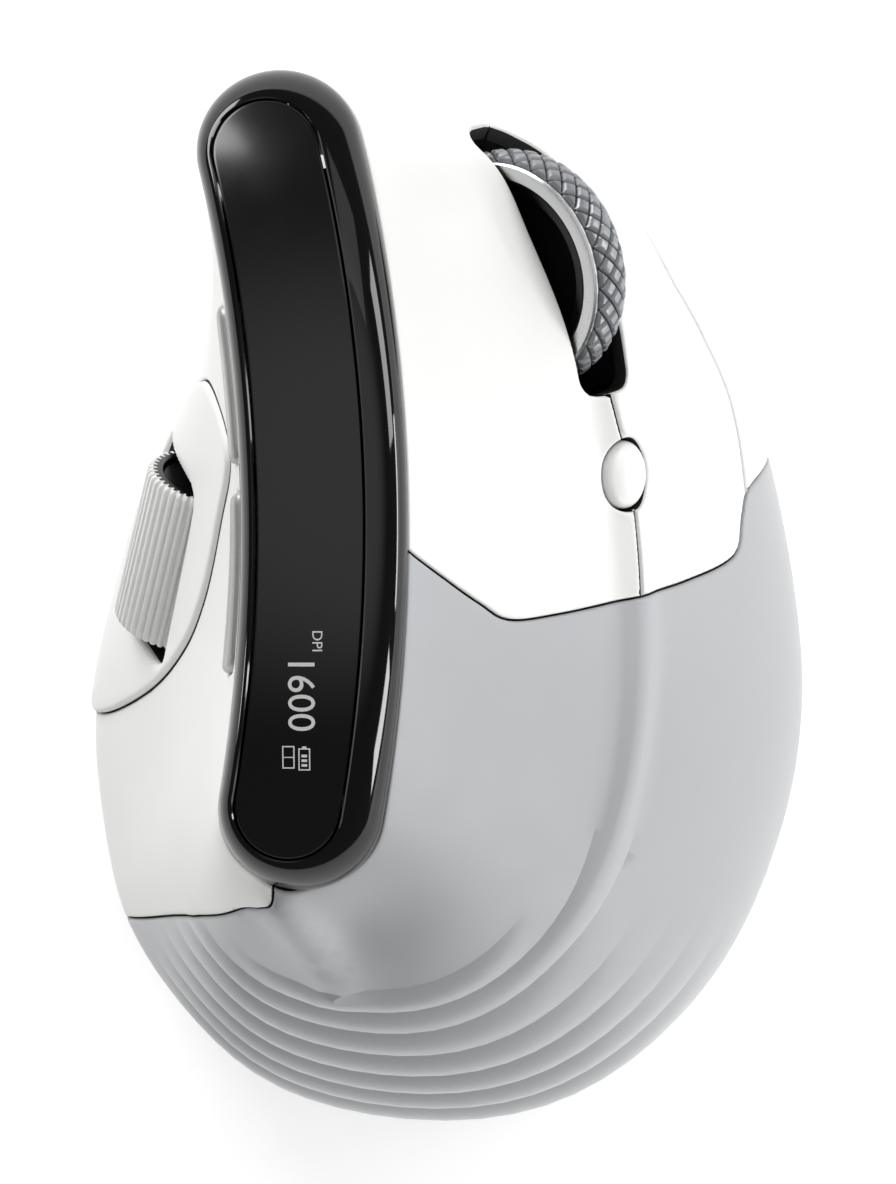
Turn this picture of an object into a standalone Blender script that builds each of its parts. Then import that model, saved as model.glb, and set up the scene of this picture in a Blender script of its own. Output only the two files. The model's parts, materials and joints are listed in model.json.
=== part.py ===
"""Right-handed vertical mouse: a ridge-shaped body whose skins are cut from one lofted surface.

Design sizes are in millimetres and MM turns them to metres. +Z is up, +Y is the way the fingers
point, +X is the finger side. The origin is under the middle of the body, on the desk.
"""

import math

import bmesh
import bpy
import numpy as np
from mathutils import Matrix, Vector
from mathutils.geometry import delaunay_2d_cdt

for existing in list(bpy.data.objects):
    bpy.data.objects.remove(existing, do_unlink=True)

MM = 0.001

# Display band: a stadium in plan, bent along an arc that bulges to +X.
ARC_R = 168.8
ARC_X, ARC_Y = -13.0, 8.0
BAND_HALF = 8.8
CAP_FRONT_Y, CAP_REAR_Y = 48.3, -21.5
LEAN_FRONT = math.asin((CAP_FRONT_Y - ARC_Y) / ARC_R)
LEAN_REAR = math.asin((CAP_REAR_Y - ARC_Y) / ARC_R)
WINDOW_HALF, WINDOW_SHIFT = 5.8, -1.4

# Height of the band's top skin: a parabola along the ridge, rolled a little to the thumb.
TOP_Z, TOP_Y, TOP_FALL = 70.0, 14.5, 0.0085
ROLL, CROWN = math.tan(math.radians(5)), 0.006
EDGE_DROP = 3.6

# Belly, the body's widest line: (share of the way round, x, y, z), clockwise from the front tip.
BELLY = [
    (0.000, -18.1, 56.4, 38),
    (0.045, -8.1, 55.8, 39),
    (0.080, 5.6, 51.9, 38),
    (0.150, 18.6, 44.5, 34),
    (0.220, 30.0, 30.1, 26),
    (0.290, 36.9, 9.4, 18),
    (0.340, 38.9, -3.8, 16),
    (0.385, 38.9, -14.4, 14),
    (0.425, 35.8, -28.2, 12),
    (0.452, 29.0, -41.6, 11),
    (0.475, 18.3, -51.7, 10),
    (0.500, 3.4, -56.8, 9),
    (0.525, -14.1, -55.0, 9),
    (0.550, -25.8, -48.3, 9),
    (0.580, -33.9, -38.3, 10),
    (0.620, -37.7, -27.2, 11),
    (0.665, -39.1, -15.0, 12),
    (0.710, -38.0, -5.0, 14),
    (0.750, -35.5, 4.9, 16),
    (0.800, -32.3, 14.3, 20),
    (0.860, -27.1, 25.2, 27),
    (0.920, -24.7, 38.5, 33),
    (0.960, -23.2, 50.0, 36),
]
# Section shape: (share of the way round, shoulder reach, shoulder drop, belly reach, belly rise).
SECTION = [
    (0.00, 0.50, 6.0, 1.00, 6.0),
    (0.08, 0.25, 5.0, 1.00, 7.0),
    (0.20, 0.23, 10.0, 1.00, 11.0),
    (0.36, 0.23, 10.5, 1.00, 13.0),
    (0.45, 0.28, 8.0, 1.00, 15.0),
    (0.51, 0.32, 7.0, 0.95, 14.0),
    (0.58, 0.20, 12.0, 0.80, 11.0),
    (0.66, 0.06, 18.0, 0.75, 9.0),
    (0.78, 0.03, 18.0, 0.80, 12.0),
    (0.88, 0.20, 12.0, 0.95, 10.0),
    (0.95, 0.40, 6.0, 1.00, 8.0),
]
# How far the foot is drawn in from the belly: (share of the way round, distance).
TUCK = [(0.0, 5.0), (0.1, 4.5), (0.25, 3.5), (0.4, 3.0), (0.5, 3.0), (0.65, 3.0), (0.8, 3.5), (0.92, 4.5)]
FOOT_Z = 2.4
BELLY_V = 0.75
MIDDLE = np.array([-1.0, -0.5])

# Walls and gaps.
WALL = 1.8
SEAM_GAP = 0.3
INSERT_GAP = 0.05
UV_SCALE = np.array([250.0, 75.0])
SKIN_STEP, EDGE_STEP = 5.0, 3.0

# Scroll wheel: its axle points up the finger slope, square to the rolling direction.
WHEEL_SPOT = (12.5, 38.1)
WHEEL_AXLE = np.array([-0.598, -0.233, 0.766])
WHEEL_RADIUS, WHEEL_PROUD = 13.2, 6.3
SLOT_LENGTH, SLOT_WIDTH = 31.6, 7.0

# Thumb roller, button and base sizes.
ROLLER_RADIUS, ROLLER_LENGTH, ROLLER_PROUD, ROLLER_RIBS = 6.8, 18.4, 3.7, 28
ROLLER_SLOT = (14.4, 21.8)
# Share of the skin's own climb that the roller's axle keeps.
AXIS_LEVEL = 0.92
PLATE_PROUD = 0.6
DPI_SPOT, DPI_SIZE = (19.0, 14.1), (3.4, 3.9)
BASE_BOTTOM, BASE_TOP, BASE_INSET = 0.9, 3.1, 3.3
SKATE_TOP = 0.75


# ---------------------------------------------------------------- the body's surface


def closed_spline(rows):
    """A smooth closed curve through rows of (knot in 0..1, values...): a function of the knot."""
    table = np.array(rows, float)
    knots, values = table[:, 0], table[:, 1:]
    count = len(knots)
    spans = np.diff(np.append(knots, knots[0] + 1.0))
    matrix, right = np.zeros((count, count)), np.zeros_like(values)
    for i in range(count):
        before, after = (i - 1) % count, (i + 1) % count
        matrix[i, before] += spans[before]
        matrix[i, i] += 2 * (spans[before] + spans[i])
        matrix[i, after] += spans[i]
        rise_after = (values[after] - values[i]) / spans[i]
        rise_before = (values[i] - values[before]) / spans[before]
        right[i] = 6 * (rise_after - rise_before)
    bend = np.linalg.solve(matrix, right)

    def at(knot):
        knot = (np.atleast_1d(np.asarray(knot, float)) - knots[0]) % 1.0 + knots[0]
        i = np.clip(np.searchsorted(knots, knot, side="right") - 1, 0, count - 1)
        j = (i + 1) % count
        q = ((knot - knots[i]) / spans[i])[:, None]
        p = 1 - q
        curved = ((p**3 - p) * bend[i] + (q**3 - q) * bend[j]) * (spans[i] ** 2)[:, None] / 6
        return p * values[i] + q * values[j] + curved

    return at


belly_at = closed_spline(BELLY)
section_at = closed_spline(SECTION)
tuck_at = closed_spline(TUCK)


def bezier(t, a, b, c, d):
    """A cubic Bezier curve's value at t."""
    q = 1 - t
    return q**3 * a + 3 * q * q * t * b + 3 * q * t * t * c + t**3 * d


def band_loop(u, half=BAND_HALF, shift=0.0):
    """Plan of the bent stadium. u runs clockwise from the front tip, 0 to 1."""
    u = np.atleast_1d(np.asarray(u, float)) % 1.0
    side, cap = ARC_R * (LEAN_FRONT - LEAN_REAR), math.pi * BAND_HALF
    ends = np.cumsum([cap / 2, side, cap, side, cap / 2])
    s = u * ends[-1]
    parts = [s < ends[0], s < ends[1], s < ends[2], s < ends[3], s >= ends[3]]
    lean = np.select(
        parts,
        [
            LEAN_FRONT,
            LEAN_FRONT - (s - ends[0]) / ARC_R,
            LEAN_REAR,
            LEAN_REAR + (s - ends[2]) / ARC_R,
            LEAN_FRONT,
        ],
    )
    turn = np.select(
        parts,
        [
            math.pi / 2 - s / cap * math.pi,
            0.0,
            -(s - ends[1]) / cap * math.pi,
            math.pi,
            math.pi - (s - ends[3]) / cap * math.pi,
        ],
    )
    radius = ARC_R + shift
    centre = np.stack([ARC_X - ARC_R + radius * np.cos(lean), ARC_Y + radius * np.sin(lean)], 1)
    return centre + half * np.stack([np.cos(lean + turn), np.sin(lean + turn)], 1)


def lid_z(x, y):
    """Height of the band's top skin over a plan point."""
    off = x - (ARC_X - ARC_R + np.sqrt(ARC_R**2 - (y - ARC_Y) ** 2))
    return TOP_Z - TOP_FALL * (y - TOP_Y) ** 2 + ROLL * off - CROWN * off**2


def body(uv):
    """Points of the outer skin. u goes round the band, v is 0 at the band's edge and 1 at the foot."""
    uv = np.atleast_2d(np.asarray(uv, float))
    u, v = uv[:, 0], uv[:, 1]
    edge, belly = band_loop(u), belly_at(u)
    reach, drop, belly_reach, rise = section_at(u).T
    edge_z = lid_z(edge[:, 0], edge[:, 1]) - EDGE_DROP
    t = np.clip(v / BELLY_V, -0.1, 1)
    plan = edge + (belly[:, :2] - edge) * bezier(t, 0, reach, belly_reach, 1)[:, None]
    z = bezier(t, edge_z, edge_z - drop, belly[:, 2] + rise, belly[:, 2])
    w = np.clip((v - BELLY_V) / (1 - BELLY_V), 0, 1)
    inward = MIDDLE - belly[:, :2]
    inward /= np.linalg.norm(inward, axis=1)[:, None]
    plan = plan + inward * (bezier(w, 0, 0, 0.75, 1) * tuck_at(u)[:, 0])[:, None]
    z = z - bezier(w, 0, 0.4, 0.7, 1) * (belly[:, 2] - FOOT_Z)
    return np.column_stack([plan, z])


def slopes(uv):
    """The surface's two derivatives and its outward normal."""
    step = 1e-4
    uv = np.atleast_2d(np.asarray(uv, float))
    along = (body(uv + [step, 0]) - body(uv - [step, 0])) / (2 * step)
    down = (body(uv + [0, step]) - body(uv - [0, step])) / (2 * step)
    normal = np.cross(along, down)
    return along, down, normal / np.linalg.norm(normal, axis=1)[:, None]


def raised(uv, height):
    """Points at a height over the skin."""
    return body(uv) + slopes(uv)[2] * height


def land(points, direction=(0, 0, 1), lowest_v=BELLY_V):
    """(u, v) where lines through the points, along the direction, meet the skin above lowest_v."""
    points = np.atleast_2d(np.asarray(points, float))
    if points.shape[1] == 2:
        points = np.column_stack([points, np.zeros(len(points))])
    z = np.asarray(direction, float) / np.linalg.norm(direction)
    x = np.cross(z, [0.0, 1.0, 0.0] if abs(z[1]) < 0.9 else [1.0, 0.0, 0.0])
    x /= np.linalg.norm(x)
    across = np.stack([x, np.cross(z, x)], 1)
    grid = np.stack(np.meshgrid(np.linspace(0, 1, 160, False), np.linspace(0.01, lowest_v, 40)), -1)
    grid = grid.reshape(-1, 2)
    facing = slopes(grid)[2] @ z > 0
    grid = grid[facing]
    seen, wanted = body(grid) @ across, points @ across
    uv = grid[np.argmin(((wanted[:, None] - seen[None]) ** 2).sum(2), axis=1)]
    for _ in range(12):
        along, down, _ = slopes(uv)
        jacobian = np.stack([along @ across, down @ across], 2)
        miss = wanted - body(uv) @ across
        uv = uv + np.clip(np.linalg.solve(jacobian, miss[:, :, None])[:, :, 0], -0.05, 0.05)
        uv[:, 1] = np.clip(uv[:, 1], -0.05, 1)
    return uv


# ---------------------------------------------------------------- outlines


def smooth(points, step=EDGE_STEP):
    """An open smooth curve through points, any number of columns, with points about a step apart."""
    p = np.asarray(points, float)
    p = np.vstack([2 * p[0] - p[1], p, 2 * p[-1] - p[-2]])
    out = []
    for a, b, c, d in zip(p, p[1:], p[2:], p[3:]):
        count = max(2, round(float(np.linalg.norm(c - b)) / step))
        t = (np.arange(count) / count)[:, None]
        out.append(
            0.5 * (2 * b + (c - a) * t + (2 * a - 5 * b + 4 * c - d) * t**2 + (3 * b - a - 3 * c + d) * t**3)
        )
    return np.vstack([*out, p[-2][None]])


def even(path, step):
    """The same path with evenly spaced points about a step apart."""
    lengths = np.linalg.norm(np.diff(path, axis=0), axis=1)
    along = np.concatenate([[0], np.cumsum(lengths)])
    at = np.linspace(0, along[-1], max(2, round(along[-1] / step) + 1))
    return np.stack([np.interp(at, along, path[:, k]) for k in range(path.shape[1])], 1)


def ring(count, x_radius, y_radius=None, turn=0.0):
    """Points of an ellipse, counter-clockwise."""
    angle = np.arange(count) * 2 * math.pi / count + turn
    return np.stack([x_radius * np.cos(angle), (y_radius or x_radius) * np.sin(angle)], 1)


def rounded_box(width, length, radius, per_corner=4):
    """Outline of a rectangle with round corners, counter-clockwise."""
    out = []
    for k, (sx, sy) in enumerate([(1, 1), (-1, 1), (-1, -1), (1, -1)]):
        centre = np.array([sx * (width / 2 - radius), sy * (length / 2 - radius)])
        angle = (k + np.linspace(0, 1, per_corner)) * math.pi / 2
        out.append(centre + radius * np.stack([np.cos(angle), np.sin(angle)], 1))
    return np.vstack(out)


def joined(*paths):
    """One closed loop from open paths laid end to end, with no point twice."""
    loop = np.vstack(paths)
    return loop[np.linalg.norm((loop - np.roll(loop, 1, 0)) * UV_SCALE, axis=1) > 0.2]


def signed_area(loop):
    x, y = loop[:, 0], loop[:, 1]
    return 0.5 * float(np.sum(x * np.roll(y, -1) - np.roll(x, -1) * y))


def inset(loop, distance):
    """A loop in (u, v), moved along the skin by a distance in millimetres, inwards if positive."""
    if signed_area(loop) < 0:
        loop = loop[::-1]
    points = body(loop)
    along, down, normal = slopes(loop)
    ahead = np.roll(points, -1, 0) - points
    ahead /= np.linalg.norm(ahead, axis=1)[:, None]
    behind = np.roll(ahead, 1, 0)
    left, right = np.cross(normal, ahead), np.cross(normal, behind)
    mitre = (left + right) / np.maximum(0.35, 1 + (left * right).sum(1))[:, None]
    jacobian = np.stack([along, down], 2)
    move = np.linalg.pinv(jacobian) @ (mitre * distance)[:, :, None]
    return loop + move[:, :, 0]


# ---------------------------------------------------------------- meshes


def inside(points, loops):
    """Whether each point is inside the first loop and outside the others (even-odd)."""
    odd = np.zeros(len(points), bool)
    for loop in loops:
        a, b = loop, np.roll(loop, -1, 0)
        for p, q in zip(a, b):
            if p[1] == q[1]:
                continue
            between = (p[1] > points[:, 1]) != (q[1] > points[:, 1])
            cross = p[0] + (points[:, 1] - p[1]) * (q[0] - p[0]) / (q[1] - p[1])
            odd ^= between & (points[:, 0] < cross)
    return odd


def clear_of(points, loops, distance):
    """Whether each point is further than a distance from every loop."""
    clear = np.ones(len(points), bool)
    for loop in loops:
        for p, q in zip(loop, np.roll(loop, -1, 0)):
            span = q - p
            t = np.clip(((points - p) @ span) / max(1e-12, float(span @ span)), 0, 1)
            clear &= np.linalg.norm(points - p - t[:, None] * span, axis=1) > distance
    return clear


def filled(loops, step):
    """Triangles over the area between loops in a plane, with inner points about a step apart."""
    low, high = loops[0].min(0), loops[0].max(0)
    rows = np.arange(low[1], high[1], step * 0.87)
    inner = []
    for k, y in enumerate(rows):
        x = np.arange(low[0] + (k % 2) * step / 2, high[0], step)
        inner.append(np.column_stack([x, np.full(len(x), y)]))
    inner = np.vstack(inner)
    inner = inner[inside(inner, loops)]
    inner = inner[clear_of(inner, loops, step * 0.45)]
    edges, start = [], 0
    for loop in loops:
        count = len(loop)
        edges += [(start + i, start + (i + 1) % count) for i in range(count)]
        start += count
    corners = [Vector(p) for p in np.vstack([*loops, inner])]
    points, _, faces, *_ = delaunay_2d_cdt(corners, edges, [], 1, 1e-6)
    points = np.array([(p.x, p.y) for p in points])
    faces = np.array([tuple(f) for f in faces])
    middle = points[faces].mean(1)
    return points, faces[inside(middle, loops)]


def seam(points):
    """A smooth seam in (u, v) through points in (u, v)."""
    return smooth(np.asarray(points, float) * UV_SCALE) / UV_SCALE


def straight(start, end):
    """A straight run in (u, v)."""
    return even(np.array([start, end], float) * UV_SCALE, EDGE_STEP) / UV_SCALE


def cut_at(path, point):
    """A path in two, at its sample nearest to a point."""
    i = int(np.argmin(np.linalg.norm((path - point) * UV_SCALE, axis=1)))
    return path[: i + 1], path[i:]


def detour(path, loop, side):
    """A path that goes round a closed loop instead of through it, on the side that a point is on."""
    fine = even(path * UV_SCALE, 0.4)
    edge = loop * UV_SCALE
    hit = np.flatnonzero(inside(fine, [edge]))
    first, last = hit[0], hit[-1]
    i = int(np.argmin(np.linalg.norm(edge - fine[first], axis=1)))
    j = int(np.argmin(np.linalg.norm(edge - fine[last], axis=1)))
    count = len(edge)
    ahead = edge[[(i + k) % count for k in range((j - i) % count + 1)]]
    back = edge[[(i - k) % count for k in range((i - j) % count + 1)]]
    target = np.asarray(side, float) * UV_SCALE
    around = min((ahead, back), key=lambda way: np.linalg.norm(way.mean(0) - target))
    before = [p for p in path * UV_SCALE if not inside(p[None], [edge])[0]]
    start = [p for p in before if np.linalg.norm(p - path[0] * UV_SCALE) < np.linalg.norm(fine[first] - path[0] * UV_SCALE)]
    end = before[len(start) :]
    clear = [p for p in start if np.linalg.norm(p - around[0]) > 1.0]
    rest = [p for p in end if np.linalg.norm(p - around[-1]) > 1.0]
    return np.vstack([*[p[None] for p in clear], around, *[p[None] for p in rest]]) / UV_SCALE


# ---------------------------------------------------------------- frames


def frame(origin, z_axis, x_hint):
    """A placing matrix in millimetres with z along an axis and x as near as it can be to a hint."""
    z = Vector(z_axis).normalized()
    x = Vector(x_hint)
    x = (x - z * x.dot(z)).normalized()
    y = z.cross(x)
    matrix = Matrix((x, y, z)).transposed().to_4x4()
    matrix.translation = Vector(origin)
    return matrix


def skin_frame(uv, x_hint):
    """A frame on the skin with z pointing out."""
    spot = np.atleast_2d(uv)
    return frame(body(spot)[0], slopes(spot)[2][0], x_hint)


def moved(matrix, x=0.0, y=0.0, z=0.0):
    """A frame moved along its own axes."""
    return matrix @ Matrix.Translation((x, y, z))


def to_metres(matrix):
    out = matrix.copy()
    out.translation = matrix.translation * MM
    return out


def traced(matrix, outline, direction=None):
    """An outline drawn in a frame's x and y, laid on the skin along z: a loop in (u, v)."""
    points = np.array([tuple(matrix @ Vector((x, y, 0))) for x, y in outline])
    z = direction if direction is not None else tuple(matrix.col[2][:3])
    return land(points, z)


# ---------------------------------------------------------------- materials and objects

COLLECTION = bpy.data.collections.new("vertical_mouse")
CUTTERS = bpy.data.collections.new("cutters")
bpy.context.scene.collection.children.link(COLLECTION)
bpy.context.scene.collection.children.link(CUTTERS)

# Looks: name -> (sRGB hex, roughness, metallic).
LOOKS = {
    "white_satin": ("EFEFED", 0.42, 0.0),
    "white_key": ("F2F2F0", 0.34, 0.0),
    "grey_soft": ("A9ABAE", 0.62, 0.0),
    "grey_button": ("A1A19F", 0.30, 0.6),
    "black_gloss": ("101010", 0.08, 0.0),
    "black_matt": ("1C1C1D", 0.55, 0.0),
    "window": ("181818", 0.05, 0.0),
    "rubber": ("D9D9D7", 0.60, 0.0),
    "aluminium": ("C9CACB", 0.28, 1.0),
    "steel": ("A6A8AA", 0.32, 1.0),
    "board": ("1F5A3A", 0.45, 0.0),
    "cell": ("B9BDC2", 0.38, 0.3),
    "skate": ("DADAD8", 0.35, 0.0),
    "lens": ("D8E0E4", 0.05, 0.0),
    "ribbon": ("B8752E", 0.40, 0.0),
}


def material(look):
    """The look's material, made once."""
    found = bpy.data.materials.get(look)
    if found:
        return found
    code, roughness, metallic = LOOKS[look]
    made = bpy.data.materials.new(look)
    made.use_nodes = True
    shader = made.node_tree.nodes["Principled BSDF"]
    channels = [int(code[k : k + 2], 16) / 255 for k in (0, 2, 4)]
    linear = [c / 12.92 if c <= 0.04045 else ((c + 0.055) / 1.055) ** 2.4 for c in channels]
    shader.inputs["Base Color"].default_value = (*linear, 1)
    shader.inputs["Roughness"].default_value = roughness
    shader.inputs["Metallic"].default_value = metallic
    return made


def add(name, data, look, matrix=None, collection=COLLECTION):
    """An object from a mesh or a curve, placed by a frame in millimetres."""
    made = bpy.data.objects.new(name, data)
    collection.objects.link(made)
    if look:
        data.materials.append(material(look))
    if matrix is not None:
        made.matrix_world = to_metres(matrix)
    return made


def smooth_shaded(mesh):
    mesh.shade_smooth()
    mesh.set_sharp_from_angle(angle=math.radians(35))


def box(name, size, matrix, look, collection=COLLECTION, bevel=0.0):
    """A box centred on its frame, with its edges rounded if bevel is given."""
    mesh = bpy.data.meshes.new(name)
    shape = bmesh.new()
    bmesh.ops.create_cube(shape, size=1, matrix=Matrix.Diagonal((*[s * MM for s in size], 1)))
    shape.to_mesh(mesh)
    shape.free()
    made = add(name, mesh, look, matrix, collection)
    if bevel:
        rounding = made.modifiers.new("bevel", "BEVEL")
        rounding.width = bevel * MM
        rounding.segments = 2
    return made


def turned(name, profile, matrix, look, steps=32, closed=False, collection=COLLECTION):
    """A solid of revolution about its frame's z. The profile, (radius, z), runs down its outer side."""
    mesh = bpy.data.meshes.new(name)
    count = len(profile)
    edges = [(k, k + 1) for k in range(count - 1)] + ([(count - 1, 0)] if closed else [])
    mesh.from_pydata([(r * MM, 0, z * MM) for r, z in profile], edges, [])
    made = add(name, mesh, look, matrix, collection)
    screw = made.modifiers.new("turn", "SCREW")
    screw.axis = "Z"
    screw.steps = screw.render_steps = steps
    screw.use_merge_vertices = True
    screw.merge_threshold = 0.00001
    screw.use_smooth_shade = True
    return made


def cylinder(name, radius, z0, z1, matrix, look, steps=24, collection=COLLECTION):
    return turned(name, [(0, z1), (radius, z1), (radius, z0), (0, z0)], matrix, look, steps, False, collection)


def tube_ring(name, inner, outer, z0, z1, matrix, look, steps=32):
    profile = [(inner, z1), (outer, z1), (outer, z0), (inner, z0)]
    return turned(name, profile, matrix, look, steps, closed=True)


def outline(name, loops, z0, z1, matrix, look):
    """A flat outline with holes, given its thickness between z0 and z1 of its frame."""
    curve = bpy.data.curves.new(name, "CURVE")
    curve.dimensions = "2D"
    curve.fill_mode = "BOTH"
    curve.extrude = (z1 - z0) / 2 * MM
    for loop in loops:
        spline = curve.splines.new("POLY")
        spline.points.add(len(loop) - 1)
        for point, (x, y) in zip(spline.points, loop):
            point.co = (x * MM, y * MM, 0, 1)
        spline.use_cyclic_u = True
    return add(name, curve, look, moved(matrix, z=(z0 + z1) / 2))


def wire(name, points, radius, look):
    """A round wire along a smooth path."""
    curve = bpy.data.curves.new(name, "CURVE")
    curve.dimensions = "3D"
    curve.bevel_depth = radius * MM
    curve.bevel_resolution = 1
    curve.use_fill_caps = True
    path = smooth(points, 3.0)
    spline = curve.splines.new("POLY")
    spline.points.add(len(path) - 1)
    for point, spot in zip(spline.points, path):
        point.co = (*(spot * MM), 1)
    return add(name, curve, look)


def skin(name, loops, look, proud=0.0, thickness=WALL, step=SKIN_STEP):
    """A moulded wall: the body's surface inside the first loop and outside the others, thickened inwards.

    Its inner face follows the surface's true normals, so that two walls keep their gap along a seam.
    """
    points, faces = filled([loop * UV_SCALE for loop in loops], step)
    uv, count = points / UV_SCALE, len(points)
    shape = bmesh.new()
    outer = [shape.verts.new(p) for p in raised(uv, proud) * MM]
    inner = [shape.verts.new(p) for p in raised(uv, proud - thickness) * MM]
    for face in faces:
        shape.faces.new([outer[i] for i in face])
        shape.faces.new([inner[i] for i in reversed(face)])
    shape.verts.index_update()
    for edge in [e for e in shape.edges if e.is_boundary and all(v.index < count for v in e.verts)]:
        loop = edge.link_loops[0]
        a, b = loop.vert.index, loop.link_loop_next.vert.index
        shape.faces.new([outer[b], outer[a], inner[a], inner[b]])
    mesh = bpy.data.meshes.new(name)
    shape.to_mesh(mesh)
    shape.free()
    smooth_shaded(mesh)
    return add(name, mesh, look)


def cut(made, cutters):
    """Takes the cutters out of an object."""
    for cutter in cutters:
        cutter.hide_render = True
        cutter.display_type = "WIRE"
        drill = made.modifiers.new(cutter.name, "BOOLEAN")
        drill.object = cutter
        drill.operation = "DIFFERENCE"


def pivot(name, matrix, children):
    """An empty on a joint's axis, z along it, that holds the pieces that move about it."""
    empty = add(name, None, None, matrix)
    bpy.context.view_layer.update()
    for child in children:
        world = child.matrix_world.copy()
        child.parent = empty
        child.matrix_parent_inverse = empty.matrix_world.inverted()
        child.matrix_world = world
    return empty


# ---------------------------------------------------------------- seams, in (u, v) on the skin

FRONT_V = 0.88
KEY_SPLIT_FRONT = 0.066
CORNER_V = 1.0

split_on_top = land([(2.4, 52.9), (5.6, 48.9), (11.5, 37.1), (16.9, 23.2), (19.0, 14.1), (20.3, 1.0)])
key_split = seam([(KEY_SPLIT_FRONT, FRONT_V), (0.068, 0.82), *split_on_top])
outer_on_top = land([(23.5, 36.9), (27.4, 30.0), (30.8, 22.4), (32.6, 12.1)])
outer_seam = seam([(0.0, FRONT_V), (0.035, 0.883), (KEY_SPLIT_FRONT, FRONT_V), (0.11, 0.84), (0.15, 0.74), *outer_on_top])
rear_on_top = land(
    [
        (-0.8, 3.3),
        (3.4, 0.3),
        (6.6, -1.5),
        (12.0, -0.9),
        (20.3, 1.0),
        (26.2, 2.8),
        (31.3, 5.5),
        (32.1, 9.4),
        (32.6, 12.1),
        (33.9, 14.0),
    ]
)
rear_seam = seam([(0.288, 0.0), *rear_on_top, (0.266, 0.745), (0.262, 0.86), (0.262, 1.0)])
left_on_top = land([(-18.7, -31.3), (-20.0, -32.1), (-23.0, -32.9), (-29.3, -33.9), (-35.2, -34.7)])
left_seam = seam([(0.508, 0.0), *left_on_top, (0.597, 0.86), (0.600, 1.0)])
rear_left_key, rest = cut_at(rear_seam, split_on_top[-1])
rear_right_key, rear_side = cut_at(rest, outer_on_top[-1])
outer_seam[-1] = rear_side[0]
key_split[-1] = rear_left_key[-1]
outer_left, outer_right = cut_at(outer_seam, (KEY_SPLIT_FRONT, FRONT_V))
key_split[0] = outer_left[-1]

# Frames on the skin.
slot_uv = land([WHEEL_SPOT])
slot_normal = slopes(slot_uv)[2][0]
wheel_out = slot_normal - WHEEL_AXLE * (slot_normal @ WHEEL_AXLE)
wheel_out /= np.linalg.norm(wheel_out)
wheel_forward = np.cross(wheel_out, WHEEL_AXLE)
wheel_forward *= math.copysign(1.0, wheel_forward[1])
# x forward, y out of the skin or into it as the right hand needs, z up the slope along the axle.
slot_frame = frame(body(slot_uv)[0], wheel_out, wheel_forward)
wheel_centre = body(slot_uv)[0] - wheel_out * (WHEEL_RADIUS - WHEEL_PROUD)
wheel_frame = frame(wheel_centre, WHEEL_AXLE, wheel_forward)
slot_loop = traced(slot_frame, rounded_box(SLOT_LENGTH, SLOT_WIDTH, 2.2))

dpi_uv = land([DPI_SPOT])
dpi_frame = skin_frame(dpi_uv, (-0.1, 1.0, 0.0))
dpi_loop = traced(dpi_frame, ring(20, DPI_SIZE[1], DPI_SIZE[0]))

left_split = detour(detour(key_split, slot_loop, (0.17, 0.2)), dpi_loop, (0.266, 0.2))
right_split = detour(detour(key_split, slot_loop, (0.17, 0.6)), dpi_loop, (0.266, 0.6))

FORWARD_U, BACK_U, SIDE_V = (0.7605, 0.852), (0.6435, 0.7445), (0.026, 0.104)


def side_button_loop(ends):
    """A long rounded button along the band, in (u, v)."""
    centre = np.array([sum(ends) / 2, sum(SIDE_V) / 2])
    size = np.array([ends[1] - ends[0], SIDE_V[1] - SIDE_V[0]])
    corners = rounded_box(196.0 * size[0], 88.0 * size[1], 1.6, 4) / [196.0, 88.0]
    return centre + corners


forward_loop, back_loop = side_button_loop(FORWARD_U), side_button_loop(BACK_U)

plate_top = land([(-24.4, 21.2), (-23.1, 15.6), (-24.2, 9.2), (-26.2, 0.6), (-28.6, -4.8), (-32.7, -9.3)])
plate_loop = seam([(0.841, 0.53), (0.828, 0.34), *plate_top, (0.677, 0.72), (0.695, 0.80)])
plate_loop = joined(plate_loop, seam([(0.695, 0.80), (0.74, 0.815), (0.80, 0.805), (0.838, 0.76), (0.848, 0.65), (0.841, 0.53)])[:-1])

roller_spots = body(land([(-28.9, 14.0), (-30.8, 6.1), (-32.9, -1.8)]))
roller_axis = (roller_spots[0] - roller_spots[2]) * [1.0, 1.0, AXIS_LEVEL]
roller_axis /= np.linalg.norm(roller_axis)
roller_uv = land([(-30.8, 6.1)])
roller_normal = slopes(roller_uv)[2][0]
roller_normal -= roller_axis * (roller_normal @ roller_axis)
roller_normal /= np.linalg.norm(roller_normal)
roller_slot_frame = frame(body(roller_uv)[0], roller_normal, roller_axis)
roller_centre = body(roller_uv)[0] + roller_normal * (ROLLER_PROUD - ROLLER_RADIUS)
roller_frame = frame(roller_centre, roller_axis, roller_normal)
roller_loop = traced(roller_slot_frame, rounded_box(ROLLER_SLOT[1], ROLLER_SLOT[0], 1.8))

socket_uv = land([(-6.0, 0.0, 9.5)], (0, 1, 0), 1.0)
socket_out = slopes(socket_uv)[2][0] * [1, 1, 0]
socket_frame = frame(body(socket_uv)[0], socket_out, (1, 0, 0))
socket_loop = land(
    np.array([tuple(socket_frame @ Vector((x, y, 0))) for x, y in rounded_box(10.2, 4.4, 2.1)]), socket_out, 1.0
)

# ---------------------------------------------------------------- moulded walls

band_front = straight((0.0, 0.0), (0.288, 0.0))
band_rear = straight((0.288, 0.0), (0.508, 0.0))
band_left = straight((0.508, 0.0), (1.0, 0.0))

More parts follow.
